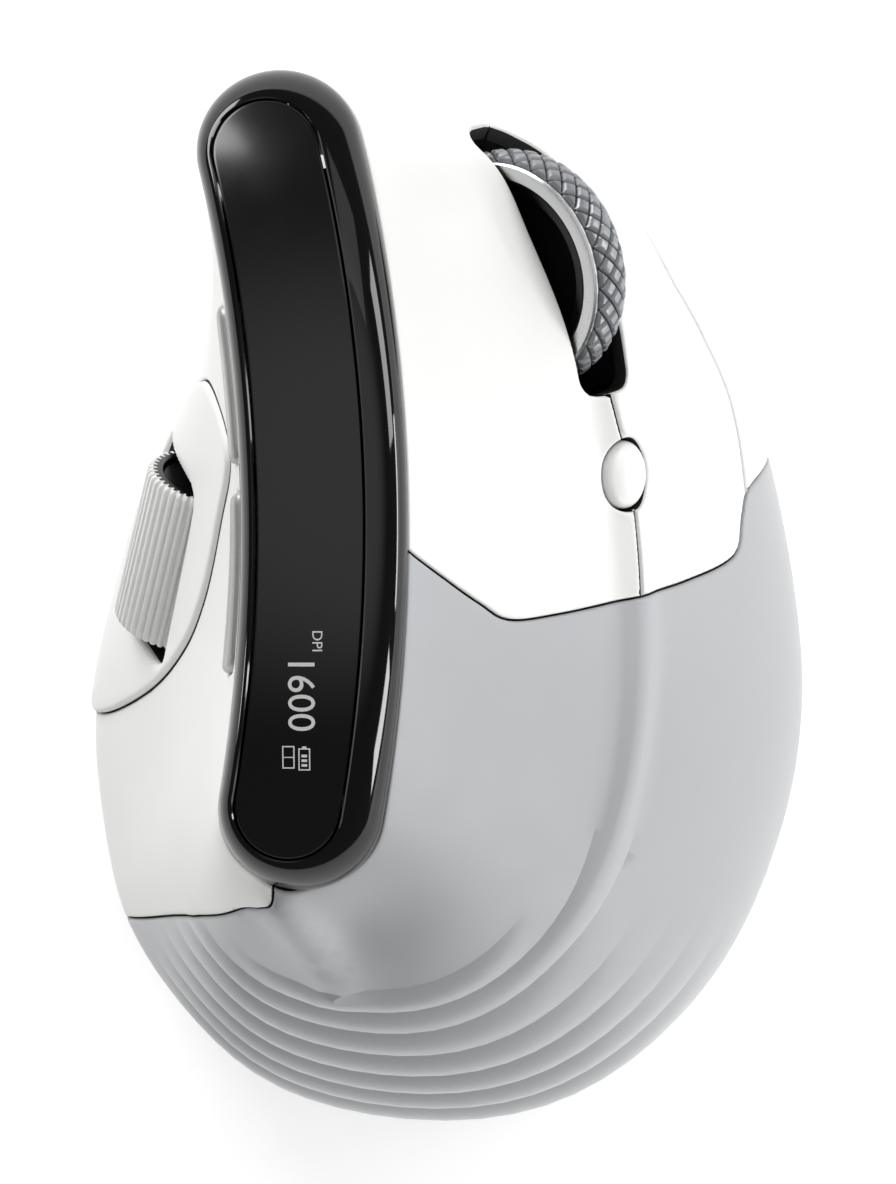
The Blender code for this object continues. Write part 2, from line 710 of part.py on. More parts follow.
left_key = skin(
    "left_key",
    [inset(joined(band_front, rear_left_key, left_split[::-1], outer_left[::-1], straight((0, FRONT_V), (0, 0))), SEAM_GAP)],
    "white_key",
)
right_key = skin(
    "right_key", [inset(joined(right_split, rear_right_key, outer_right[::-1]), SEAM_GAP)], "white_key"
)
side_loop = joined(outer_seam, rear_side, straight((0.262, 1.0), (0.0, 1.0)), straight((0, 1), (0, FRONT_V)))
side_skirt = skin("side_skirt", [inset(side_loop, SEAM_GAP), inset(socket_loop, -INSERT_GAP)], "white_satin")
rear_loop = joined(band_rear, left_seam, straight((0.6, 1.0), (0.262, 1.0)), rear_seam[::-1])
rear_cover = skin("rear_cover", [inset(rear_loop, SEAM_GAP)], "grey_soft")
thumb_loop = joined(band_left, straight((1, 0), (1, 1)), straight((1, 1), (0.6, 1)), left_seam[::-1])
thumb_panel = skin(
    "thumb_panel",
    [inset(thumb_loop, SEAM_GAP), *[inset(loop, -SEAM_GAP) for loop in (forward_loop, back_loop, plate_loop)]],
    "white_satin",
)
thumb_plate = skin(
    "thumb_plate", [inset(plate_loop, INSERT_GAP), roller_loop], "white_satin", PLATE_PROUD, PLATE_PROUD + 1.2
)
forward_button = skin("forward_button", [inset(forward_loop, INSERT_GAP)], "grey_button", 1.3, 4.3, 6.0)
back_button = skin("back_button", [inset(back_loop, INSERT_GAP)], "grey_button", 1.3, 4.3, 6.0)
dpi_button = skin("dpi_button", [inset(dpi_loop, INSERT_GAP)], "white_key", 0.6, 3.4, 2.5)
# ---------------------------------------------------------------- display band

BEZEL_WALL, BEZEL_STEPS = 1.8, 5
WINDOW_DROP, WINDOW_WALL, WINDOW_GAP = 0.15, 1.2, 0.25


def over_band(plan, below):
    """Points under the band's top skin."""
    return np.column_stack([plan, lid_z(plan[:, 0], plan[:, 1]) - below])


def bezel():
    """The gloss frame: a quarter-ellipse section swept round the band, with a flat underside."""
    u = np.arange(72) / 72
    rows = []
    for k in range(BEZEL_STEPS + 1):
        angle = k / BEZEL_STEPS * math.pi / 2
        half = WINDOW_HALF + (BAND_HALF - WINDOW_HALF) * math.sin(angle)
        shift = WINDOW_SHIFT * (1 - math.sin(angle))
        rows.append(over_band(band_loop(u, half, shift), EDGE_DROP * (1 - math.cos(angle))))
    rows.append(over_band(band_loop(u, BAND_HALF - 0.1), EDGE_DROP + 0.05))
    rows.append(over_band(band_loop(u, BAND_HALF - BEZEL_WALL), EDGE_DROP + 0.05))
    rows.append(over_band(band_loop(u, WINDOW_HALF, WINDOW_SHIFT), BEZEL_WALL))
    mesh = bpy.data.meshes.new("display_bezel")
    count, high = len(u), len(rows)
    faces = [
        (k * count + i, k * count + (i + 1) % count, ((k + 1) % high) * count + (i + 1) % count, ((k + 1) % high) * count + i)
        for k in range(high)
        for i in range(count)
    ]
    mesh.from_pydata(np.vstack(rows) * MM, [], faces)
    mesh.update()
    smooth_shaded(mesh)
    return add("display_bezel", mesh, "black_gloss")


def band_plate(name, half, shift, below, thickness, look):
    """A plate under the band's skin, with the skin's own height."""
    loop = band_loop(np.arange(48)[::-1] / 48, half, shift)
    points, faces = filled([loop], 5.0)
    mesh = bpy.data.meshes.new(name)
    mesh.from_pydata(over_band(points, below) * MM, [], faces.tolist())
    mesh.update()
    smooth_shaded(mesh)
    made = add(name, mesh, look)
    thick = made.modifiers.new("wall", "SOLIDIFY")
    thick.thickness = thickness * MM
    thick.offset = -1
    return made


display_bezel = bezel()
display_window = band_plate(
    "display_window", WINDOW_HALF - WINDOW_GAP, WINDOW_SHIFT, WINDOW_DROP, WINDOW_WALL, "window"
)
display_module = band_plate("display_module", 5.0, WINDOW_SHIFT, 1.75, 1.5, "black_matt")

# ---------------------------------------------------------------- scroll wheel

CHEEK_IN, CHEEK_OUT, CHEEK_DEEP, CHEEK_TOP = 4.2, 5.6, 14.6, 2.7
teeth = 40
knurl = [
    (-2.3, 10.9),
    (2.3, 10.9),
    (2.3, 12.7),
    (1.5, 13.0),
    (0.0, WHEEL_RADIUS),
    (-1.5, 13.0),
    (-2.3, 12.7),
]
wheel_tyre = turned(
    "wheel_tyre", [(r, z) for z, r in knurl[1:] + knurl[:1]], wheel_frame, "steel", 56, closed=True
)
wheel_hub = tube_ring("wheel_hub", 1.75, 10.6, -2.1, 2.1, wheel_frame, "black_matt", 40)
wheel_ring_left = tube_ring("wheel_ring_left", 9.2, 12.3, 2.45, 2.9, wheel_frame, "aluminium", 48)
wheel_ring_right = tube_ring("wheel_ring_right", 9.2, 12.3, -2.9, -2.45, wheel_frame, "aluminium", 48)
wheel_axle = cylinder("wheel_axle", 1.45, -6.0, 6.0, wheel_frame, "steel", 16)

yoke_frame = frame(wheel_centre, wheel_forward, WHEEL_AXLE)
# In the yoke's frame x runs along the axle and y away from the slope's outside.
sign = math.copysign(1.0, (np.cross(wheel_forward, WHEEL_AXLE) @ wheel_out))
yoke = [
    (-CHEEK_OUT, CHEEK_TOP),
    (-CHEEK_IN, CHEEK_TOP),
    (-CHEEK_IN, -CHEEK_DEEP),
    (CHEEK_IN, -CHEEK_DEEP),
    (CHEEK_IN, CHEEK_TOP),
    (CHEEK_OUT, CHEEK_TOP),
    (CHEEK_OUT, -CHEEK_DEEP - 1.6),
    (-CHEEK_OUT, -CHEEK_DEEP - 1.6),
]


def solid_outline(name, loops, z0, z1, matrix, look):
    """A flat outline made a closed mesh, so that it can be cut."""
    made = outline(name + "_curve", loops, z0, z1, matrix, None)
    bpy.context.view_layer.update()
    graph = bpy.context.evaluated_depsgraph_get()
    mesh = bpy.data.meshes.new_from_object(made.evaluated_get(graph))
    mesh.name = name
    shape = bmesh.new()
    shape.from_mesh(mesh)
    bmesh.ops.remove_doubles(shape, verts=shape.verts, dist=0.000001)
    shape.to_mesh(mesh)
    shape.free()
    world = made.matrix_world.copy()
    bpy.data.objects.remove(made, do_unlink=True)
    solid = add(name, mesh, look)
    solid.matrix_world = world
    return solid


wheel_carrier = solid_outline("wheel_carrier", [[(x, y * sign) for x, y in yoke]], -4.0, 4.0, yoke_frame, "black_matt")
cut(wheel_carrier, [cylinder("axle_drill", 1.75, -8, 8, wheel_frame, None, 16, CUTTERS)])


def in_wheel(axle, forward, out):
    """A frame in the wheel's space, z pointing out of the slope and x forward."""
    spot = wheel_centre + WHEEL_AXLE * axle + wheel_forward * forward + wheel_out * out
    return frame(spot, wheel_out, wheel_forward)


wheel_encoder = box("wheel_encoder", (6.0, 3.0, 8.0), in_wheel(7.6, -1.6, -1.4), "black_matt")
middle_switch = box("middle_switch", (6.0, 6.0, 3.4), in_wheel(0, 0, -18.9), "black_matt")
key_board = outline(
    "key_board",
    [[(-27, -9), (-27, 12), (14, 12), (14, 6.6), (-15, 6.6), (-15, -6.6), (14, -6.6), (14, -9)]],
    -0.6,
    0.6,
    in_wheel(0, 0, -8.6),
    "board",
)

# ---------------------------------------------------------------- switches under the skins


def under_skin(spot, hint, depth, height):
    """A frame under the skin, its middle half a height below a depth."""
    return moved(skin_frame(land([spot]), hint), z=-depth - height / 2)


KEY_SWITCH = (12.8, 5.8, 6.4)
left_switch = box("left_switch", KEY_SWITCH, under_skin((-2.7, 44.6), wheel_forward, WALL + 1.5, 6.4), "black_matt")
right_switch = box("right_switch", KEY_SWITCH, under_skin((21.5, 31.9), wheel_forward, WALL + 1.5, 6.4), "black_matt")
TACT = (6.0, 6.0, 3.0)
dpi_switch = box("dpi_switch", TACT, moved(dpi_frame, z=-2.8 - 0.9 - 1.5), "black_matt")


def side_frame(ends, depth):
    middle = [sum(ends) / 2, sum(SIDE_V) / 2]
    return moved(skin_frame(middle, (0, 1, 0)), z=-depth)


forward_switch = box("forward_switch", TACT, side_frame(FORWARD_U, 3.0 + 1.1 + 1.5), "black_matt")
back_switch = box("back_switch", TACT, side_frame(BACK_U, 3.0 + 1.1 + 1.5), "black_matt")
side_board = box("side_board", (31.0, 6.0, 1.2), moved(side_frame((BACK_U[0], FORWARD_U[1]), 8.6), y=1.6), "board")

# ---------------------------------------------------------------- thumb roller

ribs = []
for k in range(ROLLER_RIBS):
    turn = 2 * math.pi / ROLLER_RIBS
    for share, radius in ((0.0, ROLLER_RADIUS), (0.42, ROLLER_RADIUS), (0.58, ROLLER_RADIUS - 0.6), (0.84, ROLLER_RADIUS - 0.6)):
        ribs.append((radius * math.cos((k + share) * turn), radius * math.sin((k + share) * turn)))
half = ROLLER_LENGTH / 2
thumb_roller = outline("thumb_roller", [ribs, ring(20, 1.75)[::-1]], -half, half, roller_frame, "rubber")
thumb_axle = cylinder("thumb_axle", 1.4, -half - 3.6, half + 3.6, roller_frame, "steel", 16)
# The axle lies in two open saddles under the plate, which keeps it in.
saddle = [(-5.5, -4.0), (0.5, -4.0), (0.5, -1.7), (-0.5, -1.6), (-1.3, -1.1), (-1.7, 0.0)]
saddle += [(x, -y) for x, y in saddle[-2::-1]]
thumb_saddle_front = outline("thumb_saddle_front", [saddle], half + 1.6, half + 3.2, roller_frame, "black_matt")
thumb_saddle_rear = outline("thumb_saddle_rear", [saddle], -half - 3.2, -half - 1.6, roller_frame, "black_matt")
thumb_encoder = box("thumb_encoder", (6.0, 7.0, 3.0), moved(roller_frame, x=-4.0, z=half + 5.6), "black_matt")

# ---------------------------------------------------------------- base and what it carries

ground = Matrix.Identity(4)
foot_uv = np.column_stack([np.arange(64)[::-1] / 64, np.ones(64)])
foot = body(foot_uv)[:, :2]
inward = np.array([-1.0, -0.5]) - foot
base_edge = foot + inward / np.linalg.norm(inward, axis=1)[:, None] * BASE_INSET

SENSOR = (1.0, 4.0)
SWITCH_SPOT, PAIR_SPOT = (-14.0, 2.0), (14.0, 4.0)
SCREWS = ((-14.5, 27.0), (16.0, 29.0), (24.0, -27.0), (-24.0, -27.0))
SWITCH_SLOT = (3.8, 8.6)


def at(spot, z=0.0):
    """An upright frame over a plan point."""
    return Matrix.Translation((spot[0], spot[1], z))


base_plate = solid_outline("base_plate", [base_edge], BASE_BOTTOM, BASE_TOP, ground, "black_matt")
drills = [
    cylinder("sensor_drill", 4.7, 0, 6, at(SENSOR), None, 32, CUTTERS),
    box("switch_drill", (*SWITCH_SLOT, 8), at(SWITCH_SPOT, 2), None, CUTTERS),
    cylinder("pair_drill", 2.2, 0, 6, at(PAIR_SPOT), None, 24, CUTTERS),
]
for k, spot in enumerate(SCREWS, 1):
    profile = [(0, 6), (1.5, 6), (1.5, 2.1), (2.9, 2.1), (2.9, 0), (0, 0)]
    drills.append(turned(f"screw_drill_{k}", profile, at(spot), None, 20, False, CUTTERS))
cut(base_plate, drills)

for k, spot in enumerate(SCREWS, 1):
    profile = [(0, 7.5), (1.2, 7.5), (1.2, 1.9), (2.5, 1.9), (2.5, 1.1), (0, 1.1)]
    turned(f"base_screw_{k}", profile, at(spot), "steel", 20)

front_foot = outline("front_foot", [rounded_box(22, 7, 3.4, 6)], 0, SKATE_TOP, at((-4.0, 40.5)), "skate")
rear_foot = outline("rear_foot", [rounded_box(38, 9, 4.4, 6)], 0, SKATE_TOP, at((-1.0, -41.0)), "skate")
sensor_foot = outline("sensor_foot", [ring(36, 8.6), ring(28, 5.4)[::-1]], 0, SKATE_TOP, at(SENSOR), "skate")
sensor_lens = turned("sensor_lens", [(0, 4.0), (4.3, 4.0), (4.3, 1.5), (1.6, 1.5), (1.2, 2.6), (0, 2.6)], at(SENSOR), "lens", 24)
optical_sensor = box("optical_sensor", (10.8, 16.0, 3.0), at(SENSOR, 5.9), "black_matt")

knob = [(-1.5, 1.1), (1.5, 1.1), (1.5, 3.4), (3.2, 3.4), (3.2, 4.4), (-3.2, 4.4), (-3.2, 3.4), (-1.5, 3.4)]
knob_frame = frame((*SWITCH_SPOT, 0), (0, -1, 0), (1, 0, 0))
power_switch = outline("power_switch", [knob], -1.8, 1.8, moved(knob_frame, z=1.2), "rubber")
pairing_button = turned(
    "pairing_button", [(0, 4.3), (2.9, 4.3), (2.9, 3.4), (1.85, 3.4), (1.85, 1.1), (0, 1.1)], at(PAIR_SPOT), "rubber", 24
)

main_board = outline(
    "main_board", [rounded_box(38, 54, 3, 3) + [2.0, -3.0]], 7.8, 9.0, ground, "board"
)
battery = box("battery", (28.0, 38.0, 6.6), at((2.0, -11.0), 13.9), "cell", bevel=1.6)
tray = [(-15.6, 9.4), (15.6, 9.4), (15.6, 15.0), (14.6, 15.0), (14.6, 10.2), (-14.6, 10.2), (-14.6, 15.0), (-15.6, 15.0)]
battery_tray = outline("battery_tray", [tray], -16.0, 16.0, frame((2.0, -11.0, 0), (0, -1, 0), (1, 0, 0)), "black_matt")
battery_lead = wire("battery_lead", [(10, 8.4, 13.5), (10, 12, 14.0), (11, 15.5, 13.0), (12, 18.5, 11.5), (12, 19.5, 9.4)], 0.7, "rubber")
usb_socket = outline(
    "usb_socket",
    [rounded_box(9.0, 3.3, 1.5), rounded_box(8.3, 2.6, 1.2)[::-1]],
    -8.0,
    -0.6,
    socket_frame,
    "steel",
)
usb_tongue = box("usb_tongue", (6.6, 0.7, 5.0), moved(socket_frame, z=-4.6), "black_matt")

# The frame under the ridge: a wall bent to the band's arc, with the display module on its top edge.
WEB_SHIFT, WEB_HALF = 3.0, 1.0


def ridge_web():
    s = np.linspace(ARC_R * LEAN_REAR + 3.0, ARC_R * LEAN_FRONT - 6.0, 16)
    y = ARC_Y + ARC_R * np.sin(s / ARC_R)
    x = ARC_X - ARC_R + ARC_R * np.cos(s / ARC_R) + WEB_SHIFT
    top = lid_z(x, y) - EDGE_DROP - 3.0
    low = np.where(y < 22, 19.0, 42.0)
    outer = np.vstack([np.column_stack([s, low]), np.column_stack([s, top])[::-1]])
    points, faces = filled([outer], 9.0)
    lean = points[:, 0] / ARC_R
    radius = ARC_R + WEB_SHIFT
    spots = np.column_stack([ARC_X - ARC_R + radius * np.cos(lean), ARC_Y + radius * np.sin(lean), points[:, 1]])
    mesh = bpy.data.meshes.new("ridge_frame")
    mesh.from_pydata(spots * MM, [], faces.tolist())
    mesh.update()
    made = add("ridge_frame", mesh, "black_matt")
    thick = made.modifiers.new("wall", "SOLIDIFY")
    thick.thickness = 2 * WEB_HALF * MM
    thick.offset = 0
    return made


ridge_frame = ridge_web()
ribbon_path = [(-5.6, 59.0), (-4.9, 52.0), (-4.6, 40.0), (-4.4, 28.0), (-4.4, 19.5), (-4.4, 9.4)]
ribbon_side = smooth(ribbon_path, 5.0)
ribbon = np.vstack([ribbon_side, ribbon_side[::-1] + [0.4, 0.0]])
display_ribbon = outline("display_ribbon", [ribbon], -4.0, 4.0, frame((0.0, 16.0, 0.0), (0, -1, 0), (1, 0, 0)), "ribbon")

# ---------------------------------------------------------------- pivots

LEFT_HINGE_AXIS, RIGHT_HINGE_AXIS = (-0.707, 0.0, 0.707), (-0.45, 0.0, 0.893)
left_hinge = body(land([(8.0, -0.2)]))[0] - 2.0 * slopes(land([(8.0, -0.2)]))[2][0]
right_hinge = body(land([(25.0, 3.5)]))[0] - 2.0 * slopes(land([(25.0, 3.5)]))[2][0]
power_pivot, pair_pivot = at(SWITCH_SPOT), at(PAIR_SPOT)
pivot("left_key_hinge", frame(left_hinge, LEFT_HINGE_AXIS, (0, 1, 0)), [left_key])
pivot("right_key_hinge", frame(right_hinge, RIGHT_HINGE_AXIS, (0, 1, 0)), [right_key])
pivot("wheel_press", frame(wheel_centre, wheel_out, wheel_forward), [wheel_carrier])
pivot("wheel_turn", wheel_frame, [wheel_tyre, wheel_hub, wheel_ring_left, wheel_ring_right, wheel_axle])
pivot("thumb_turn", roller_frame, [thumb_roller, thumb_axle])
pivot("dpi_press", dpi_frame, [dpi_button])
pivot("forward_press", side_frame(FORWARD_U, 0.0), [forward_button])
pivot("back_press", side_frame(BACK_U, 0.0), [back_button])
pivot("power_slide", power_pivot, [power_switch])
pivot("pairing_press", pair_pivot, [pairing_button])

# The whole is moved a little so that its box stands centred on the origin.
CENTRING = Vector((0.187, -0.220, 0.0))
for placed in COLLECTION.objects[:] + CUTTERS.objects[:]:
    if placed.parent is None:
        placed.location += CENTRING * MM
bpy.context.view_layer.update()
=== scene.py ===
"""A right-handed vertical mouse with a display band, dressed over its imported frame.

The body is one lofted ridge. Every moulded wall is a patch of it, cut along the seams, with its own
thickness and rounded rim. Design sizes are in millimetres, and MM turns them to metres.
"""

import json
import logging
import math
from dataclasses import dataclass, field
from enum import Enum
from typing import Callable, Optional, Sequence, Union

import bmesh
import bpy
import numpy as np
from mathutils import Matrix, Vector
from mathutils.geometry import delaunay_2d_cdt

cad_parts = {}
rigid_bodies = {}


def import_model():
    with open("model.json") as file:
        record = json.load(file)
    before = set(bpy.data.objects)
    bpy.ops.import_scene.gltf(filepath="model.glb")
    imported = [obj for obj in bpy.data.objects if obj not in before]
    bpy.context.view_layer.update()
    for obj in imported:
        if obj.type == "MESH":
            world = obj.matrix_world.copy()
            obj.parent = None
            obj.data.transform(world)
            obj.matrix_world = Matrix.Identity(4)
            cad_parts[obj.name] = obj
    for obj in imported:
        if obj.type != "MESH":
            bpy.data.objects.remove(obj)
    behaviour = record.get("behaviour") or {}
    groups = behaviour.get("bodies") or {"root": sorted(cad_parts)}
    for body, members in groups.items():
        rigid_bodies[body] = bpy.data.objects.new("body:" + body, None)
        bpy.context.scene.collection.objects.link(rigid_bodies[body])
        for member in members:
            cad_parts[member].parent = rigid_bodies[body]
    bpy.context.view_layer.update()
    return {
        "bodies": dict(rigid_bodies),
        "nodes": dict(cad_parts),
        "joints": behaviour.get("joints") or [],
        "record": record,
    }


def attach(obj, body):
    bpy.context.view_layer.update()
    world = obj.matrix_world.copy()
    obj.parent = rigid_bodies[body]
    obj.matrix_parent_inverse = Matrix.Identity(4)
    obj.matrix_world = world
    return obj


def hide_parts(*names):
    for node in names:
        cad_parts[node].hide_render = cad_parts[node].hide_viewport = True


Array = np.ndarray
LOG = logging.getLogger("vertical_mouse")
MM = 0.001
# The design's own origin, on the frame's axes.
CENTRING = np.array([0.187, -0.220, 0.0])


# ================================================================ small maths


def bezier(t: Array, a: Array, b: Array, c: Array, d: Array) -> Array:
    """A cubic Bezier curve's value at t.

    Args:
        t: Place along the curve, 0 to 1.
        a, b, c, d: The four controls.

    Returns:
        The value at t.
    """
    q = 1 - t
    return q**3 * a + 3 * q * q * t * b + 3 * q * t * t * c + t**3 * d


def ramp(x: Array, start: float, end: float) -> Array:
    """A smooth step that is 0 up to start and 1 from end."""
    t = np.clip((np.asarray(x, float) - start) / (end - start), 0, 1)
    return t * t * (3 - 2 * t)


def closed_spline(rows: Sequence[Sequence[float]]) -> Callable[[Array], Array]:
    """A smooth closed curve through rows of (knot in 0..1, values...).

    Args:
        rows: One row for each knot, in order.

    Returns:
        A function of the knot that gives the values, one row for each knot asked for.
    """
    table = np.array(rows, float)
    knots, values = table[:, 0], table[:, 1:]
    count = len(knots)
    spans = np.diff(np.append(knots, knots[0] + 1.0))
    matrix, right = np.zeros((count, count)), np.zeros_like(values)
    for i in range(count):
        before, after = (i - 1) % count, (i + 1) % count
        matrix[i, before] += spans[before]
        matrix[i, i] += 2 * (spans[before] + spans[i])
        matrix[i, after] += spans[i]
        rise_after = (values[after] - values[i]) / spans[i]
        rise_before = (values[i] - values[before]) / spans[before]
        right[i] = 6 * (rise_after - rise_before)
    bend = np.linalg.solve(matrix, right)

    def at(knot: Array) -> Array:
        """The values at a knot."""
        knot = (np.atleast_1d(np.asarray(knot, float)) - knots[0]) % 1.0 + knots[0]
        i = np.clip(np.searchsorted(knots, knot, side="right") - 1, 0, count - 1)
        j = (i + 1) % count
        q = ((knot - knots[i]) / spans[i])[:, None]
        p = 1 - q
        curved = ((p**3 - p) * bend[i] + (q**3 - q) * bend[j]) * (spans[i] ** 2)[:, None] / 6
        return p * values[i] + q * values[j] + curved

    return at


def even(path: Array, step: float) -> Array:
    """The same path with evenly spaced points about a step apart."""
    lengths = np.linalg.norm(np.diff(path, axis=0), axis=1)
    along = np.concatenate([[0], np.cumsum(lengths)])
    at = np.linspace(0, along[-1], max(2, round(along[-1] / step) + 1))
    return np.stack([np.interp(at, along, path[:, k]) for k in range(path.shape[1])], 1)


def smooth_path(points: Sequence[Sequence[float]], step: float) -> Array:
    """An open smooth curve through points, with points about a step apart."""
    p = np.asarray(points, float)
    p = np.vstack([2 * p[0] - p[1], p, 2 * p[-1] - p[-2]])
    out = []
    for a, b, c, d in zip(p, p[1:], p[2:], p[3:]):
        count = max(4, round(float(np.linalg.norm(c - b)) / step))
        t = (np.arange(count) / count)[:, None]
        cubic = 2 * b + (c - a) * t + (2 * a - 5 * b + 4 * c - d) * t**2
        out.append(0.5 * (cubic + (3 * b - a - 3 * c + d) * t**3))
    return np.vstack([*out, p[-2][None]])


def ellipse(count: int, x_radius: float, y_radius: float) -> Array:
    """Points of an ellipse, counter-clockwise."""
    angle = np.arange(count) * 2 * math.pi / count
    return np.stack([x_radius * np.cos(angle), y_radius * np.sin(angle)], 1)


def round_box(width: float, length: float, radius: float, per_corner: int = 8) -> Array:
    """Outline of a rectangle with round corners, counter-clockwise."""
    out = []
    for k, (sx, sy) in enumerate([(1, 1), (-1, 1), (-1, -1), (1, -1)]):
        centre = np.array([sx * (width / 2 - radius), sy * (length / 2 - radius)])
        angle = (k + np.linspace(0, 1, per_corner)) * math.pi / 2
        out.append(centre + radius * np.stack([np.cos(angle), np.sin(angle)], 1))
    return np.vstack(out)


def signed_area(loop: Array) -> float:
    """A loop's area, positive when it runs counter-clockwise."""
    x, y = loop[:, 0], loop[:, 1]
    return 0.5 * float(np.sum(x * np.roll(y, -1) - np.roll(x, -1) * y))


def inside(points: Array, loops: Sequence[Array]) -> Array:
    """Whether each point is inside the loops by the even-odd rule."""
    odd = np.zeros(len(points), bool)
    for loop in loops:
        for p, q in zip(loop, np.roll(loop, -1, 0)):
            if p[1] == q[1]:
                continue
            between = (p[1] > points[:, 1]) != (q[1] > points[:, 1])
            cross = p[0] + (points[:, 1] - p[1]) * (q[0] - p[0]) / (q[1] - p[1])
            odd ^= between & (points[:, 0] < cross)
    return odd


def distance_to(points: Array, loops: Sequence[Array], reach: float) -> Array:
    """Distance from each point to the nearest loop, in any number of columns.

    Args:
        points: The points asked about.
        loops: Closed loops.
        reach: Distances over this are given as this.

    Returns:
        One distance for each point.
    """
    best = np.full(len(points), reach * reach)
    for loop in loops:
        for p, q in zip(loop, np.roll(loop, -1, 0)):
            low, high = np.minimum(p, q) - reach, np.maximum(p, q) + reach
            near = np.flatnonzero(np.all((points > low) & (points < high), axis=1))
            if not len(near):
                continue
            span = q - p
            t = np.clip(((points[near] - p) @ span) / max(1e-12, float(span @ span)), 0, 1)
            gap = ((points[near] - p - t[:, None] * span) ** 2).sum(1)
            best[near] = np.minimum(best[near], gap)
    return np.sqrt(best)


# ================================================================ the body's surface


@dataclass(frozen=True)
class DisplayBandPlan:
    """Plan and height of the gloss band: a stadium bent along an arc on the top of the ridge."""

    arc_radius: float = 168.8
    arc_x: float = -13.0
    arc_y: float = 8.0
    half: float = 8.8
    front_y: float = 48.3
    rear_y: float = -21.5
    window_half: float = 5.8
    window_shift: float = -1.4
    top_z: float = 70.0
    top_y: float = 14.5
    fall: float = 0.0085
    roll: float = math.tan(math.radians(5))
    crown: float = 0.006
    edge_drop: float = 3.6

    def loop(self, u: Array, half: Optional[float] = None, shift: float = 0.0) -> Array:
        """Plan points of the bent stadium.

        Args:
            u: Share of the way round, clockwise from the front tip.
            half: Half its width, the band's own by default.
            shift: How far the stadium is moved to the finger side.

        Returns:
            One plan point for each u.
        """
        half = self.half if half is None else half
        front = math.asin((self.front_y - self.arc_y) / self.arc_radius)
        rear = math.asin((self.rear_y - self.arc_y) / self.arc_radius)
        u = np.atleast_1d(np.asarray(u, float)) % 1.0
        side, cap = self.arc_radius * (front - rear), math.pi * self.half
        ends = np.cumsum([cap / 2, side, cap, side, cap / 2])
        s = u * ends[-1]
        parts = [s < ends[0], s < ends[1], s < ends[2], s < ends[3], s >= ends[3]]
        down, up = front - (s - ends[0]) / self.arc_radius, rear + (s - ends[2]) / self.arc_radius
        lean = np.select(parts, [front, down, rear, up, front])
        first, tail = math.pi / 2 - s / cap * math.pi, -(s - ends[1]) / cap * math.pi
        last = math.pi - (s - ends[3]) / cap * math.pi
        turn = np.select(parts, [first, 0.0, tail, math.pi, last])
        radius = self.arc_radius + shift
        x = self.arc_x - self.arc_radius + radius * np.cos(lean)
        centre = np.stack([x, self.arc_y + radius * np.sin(lean)], 1)
        return centre + half * np.stack([np.cos(lean + turn), np.sin(lean + turn)], 1)

    def off_centre(self, x: Array, y: Array) -> Array:
        """How far plan points lie to the finger side of the band's middle line."""
        reach = np.sqrt(self.arc_radius**2 - (y - self.arc_y) ** 2)
        return x - (self.arc_x - self.arc_radius + reach)

    def height(self, x: Array, y: Array) -> Array:
        """Height of the band's top skin over plan points."""
        off = self.off_centre(x, y)
        return self.top_z - self.fall * (y - self.top_y) ** 2 + self.roll * off - self.crown * off**2


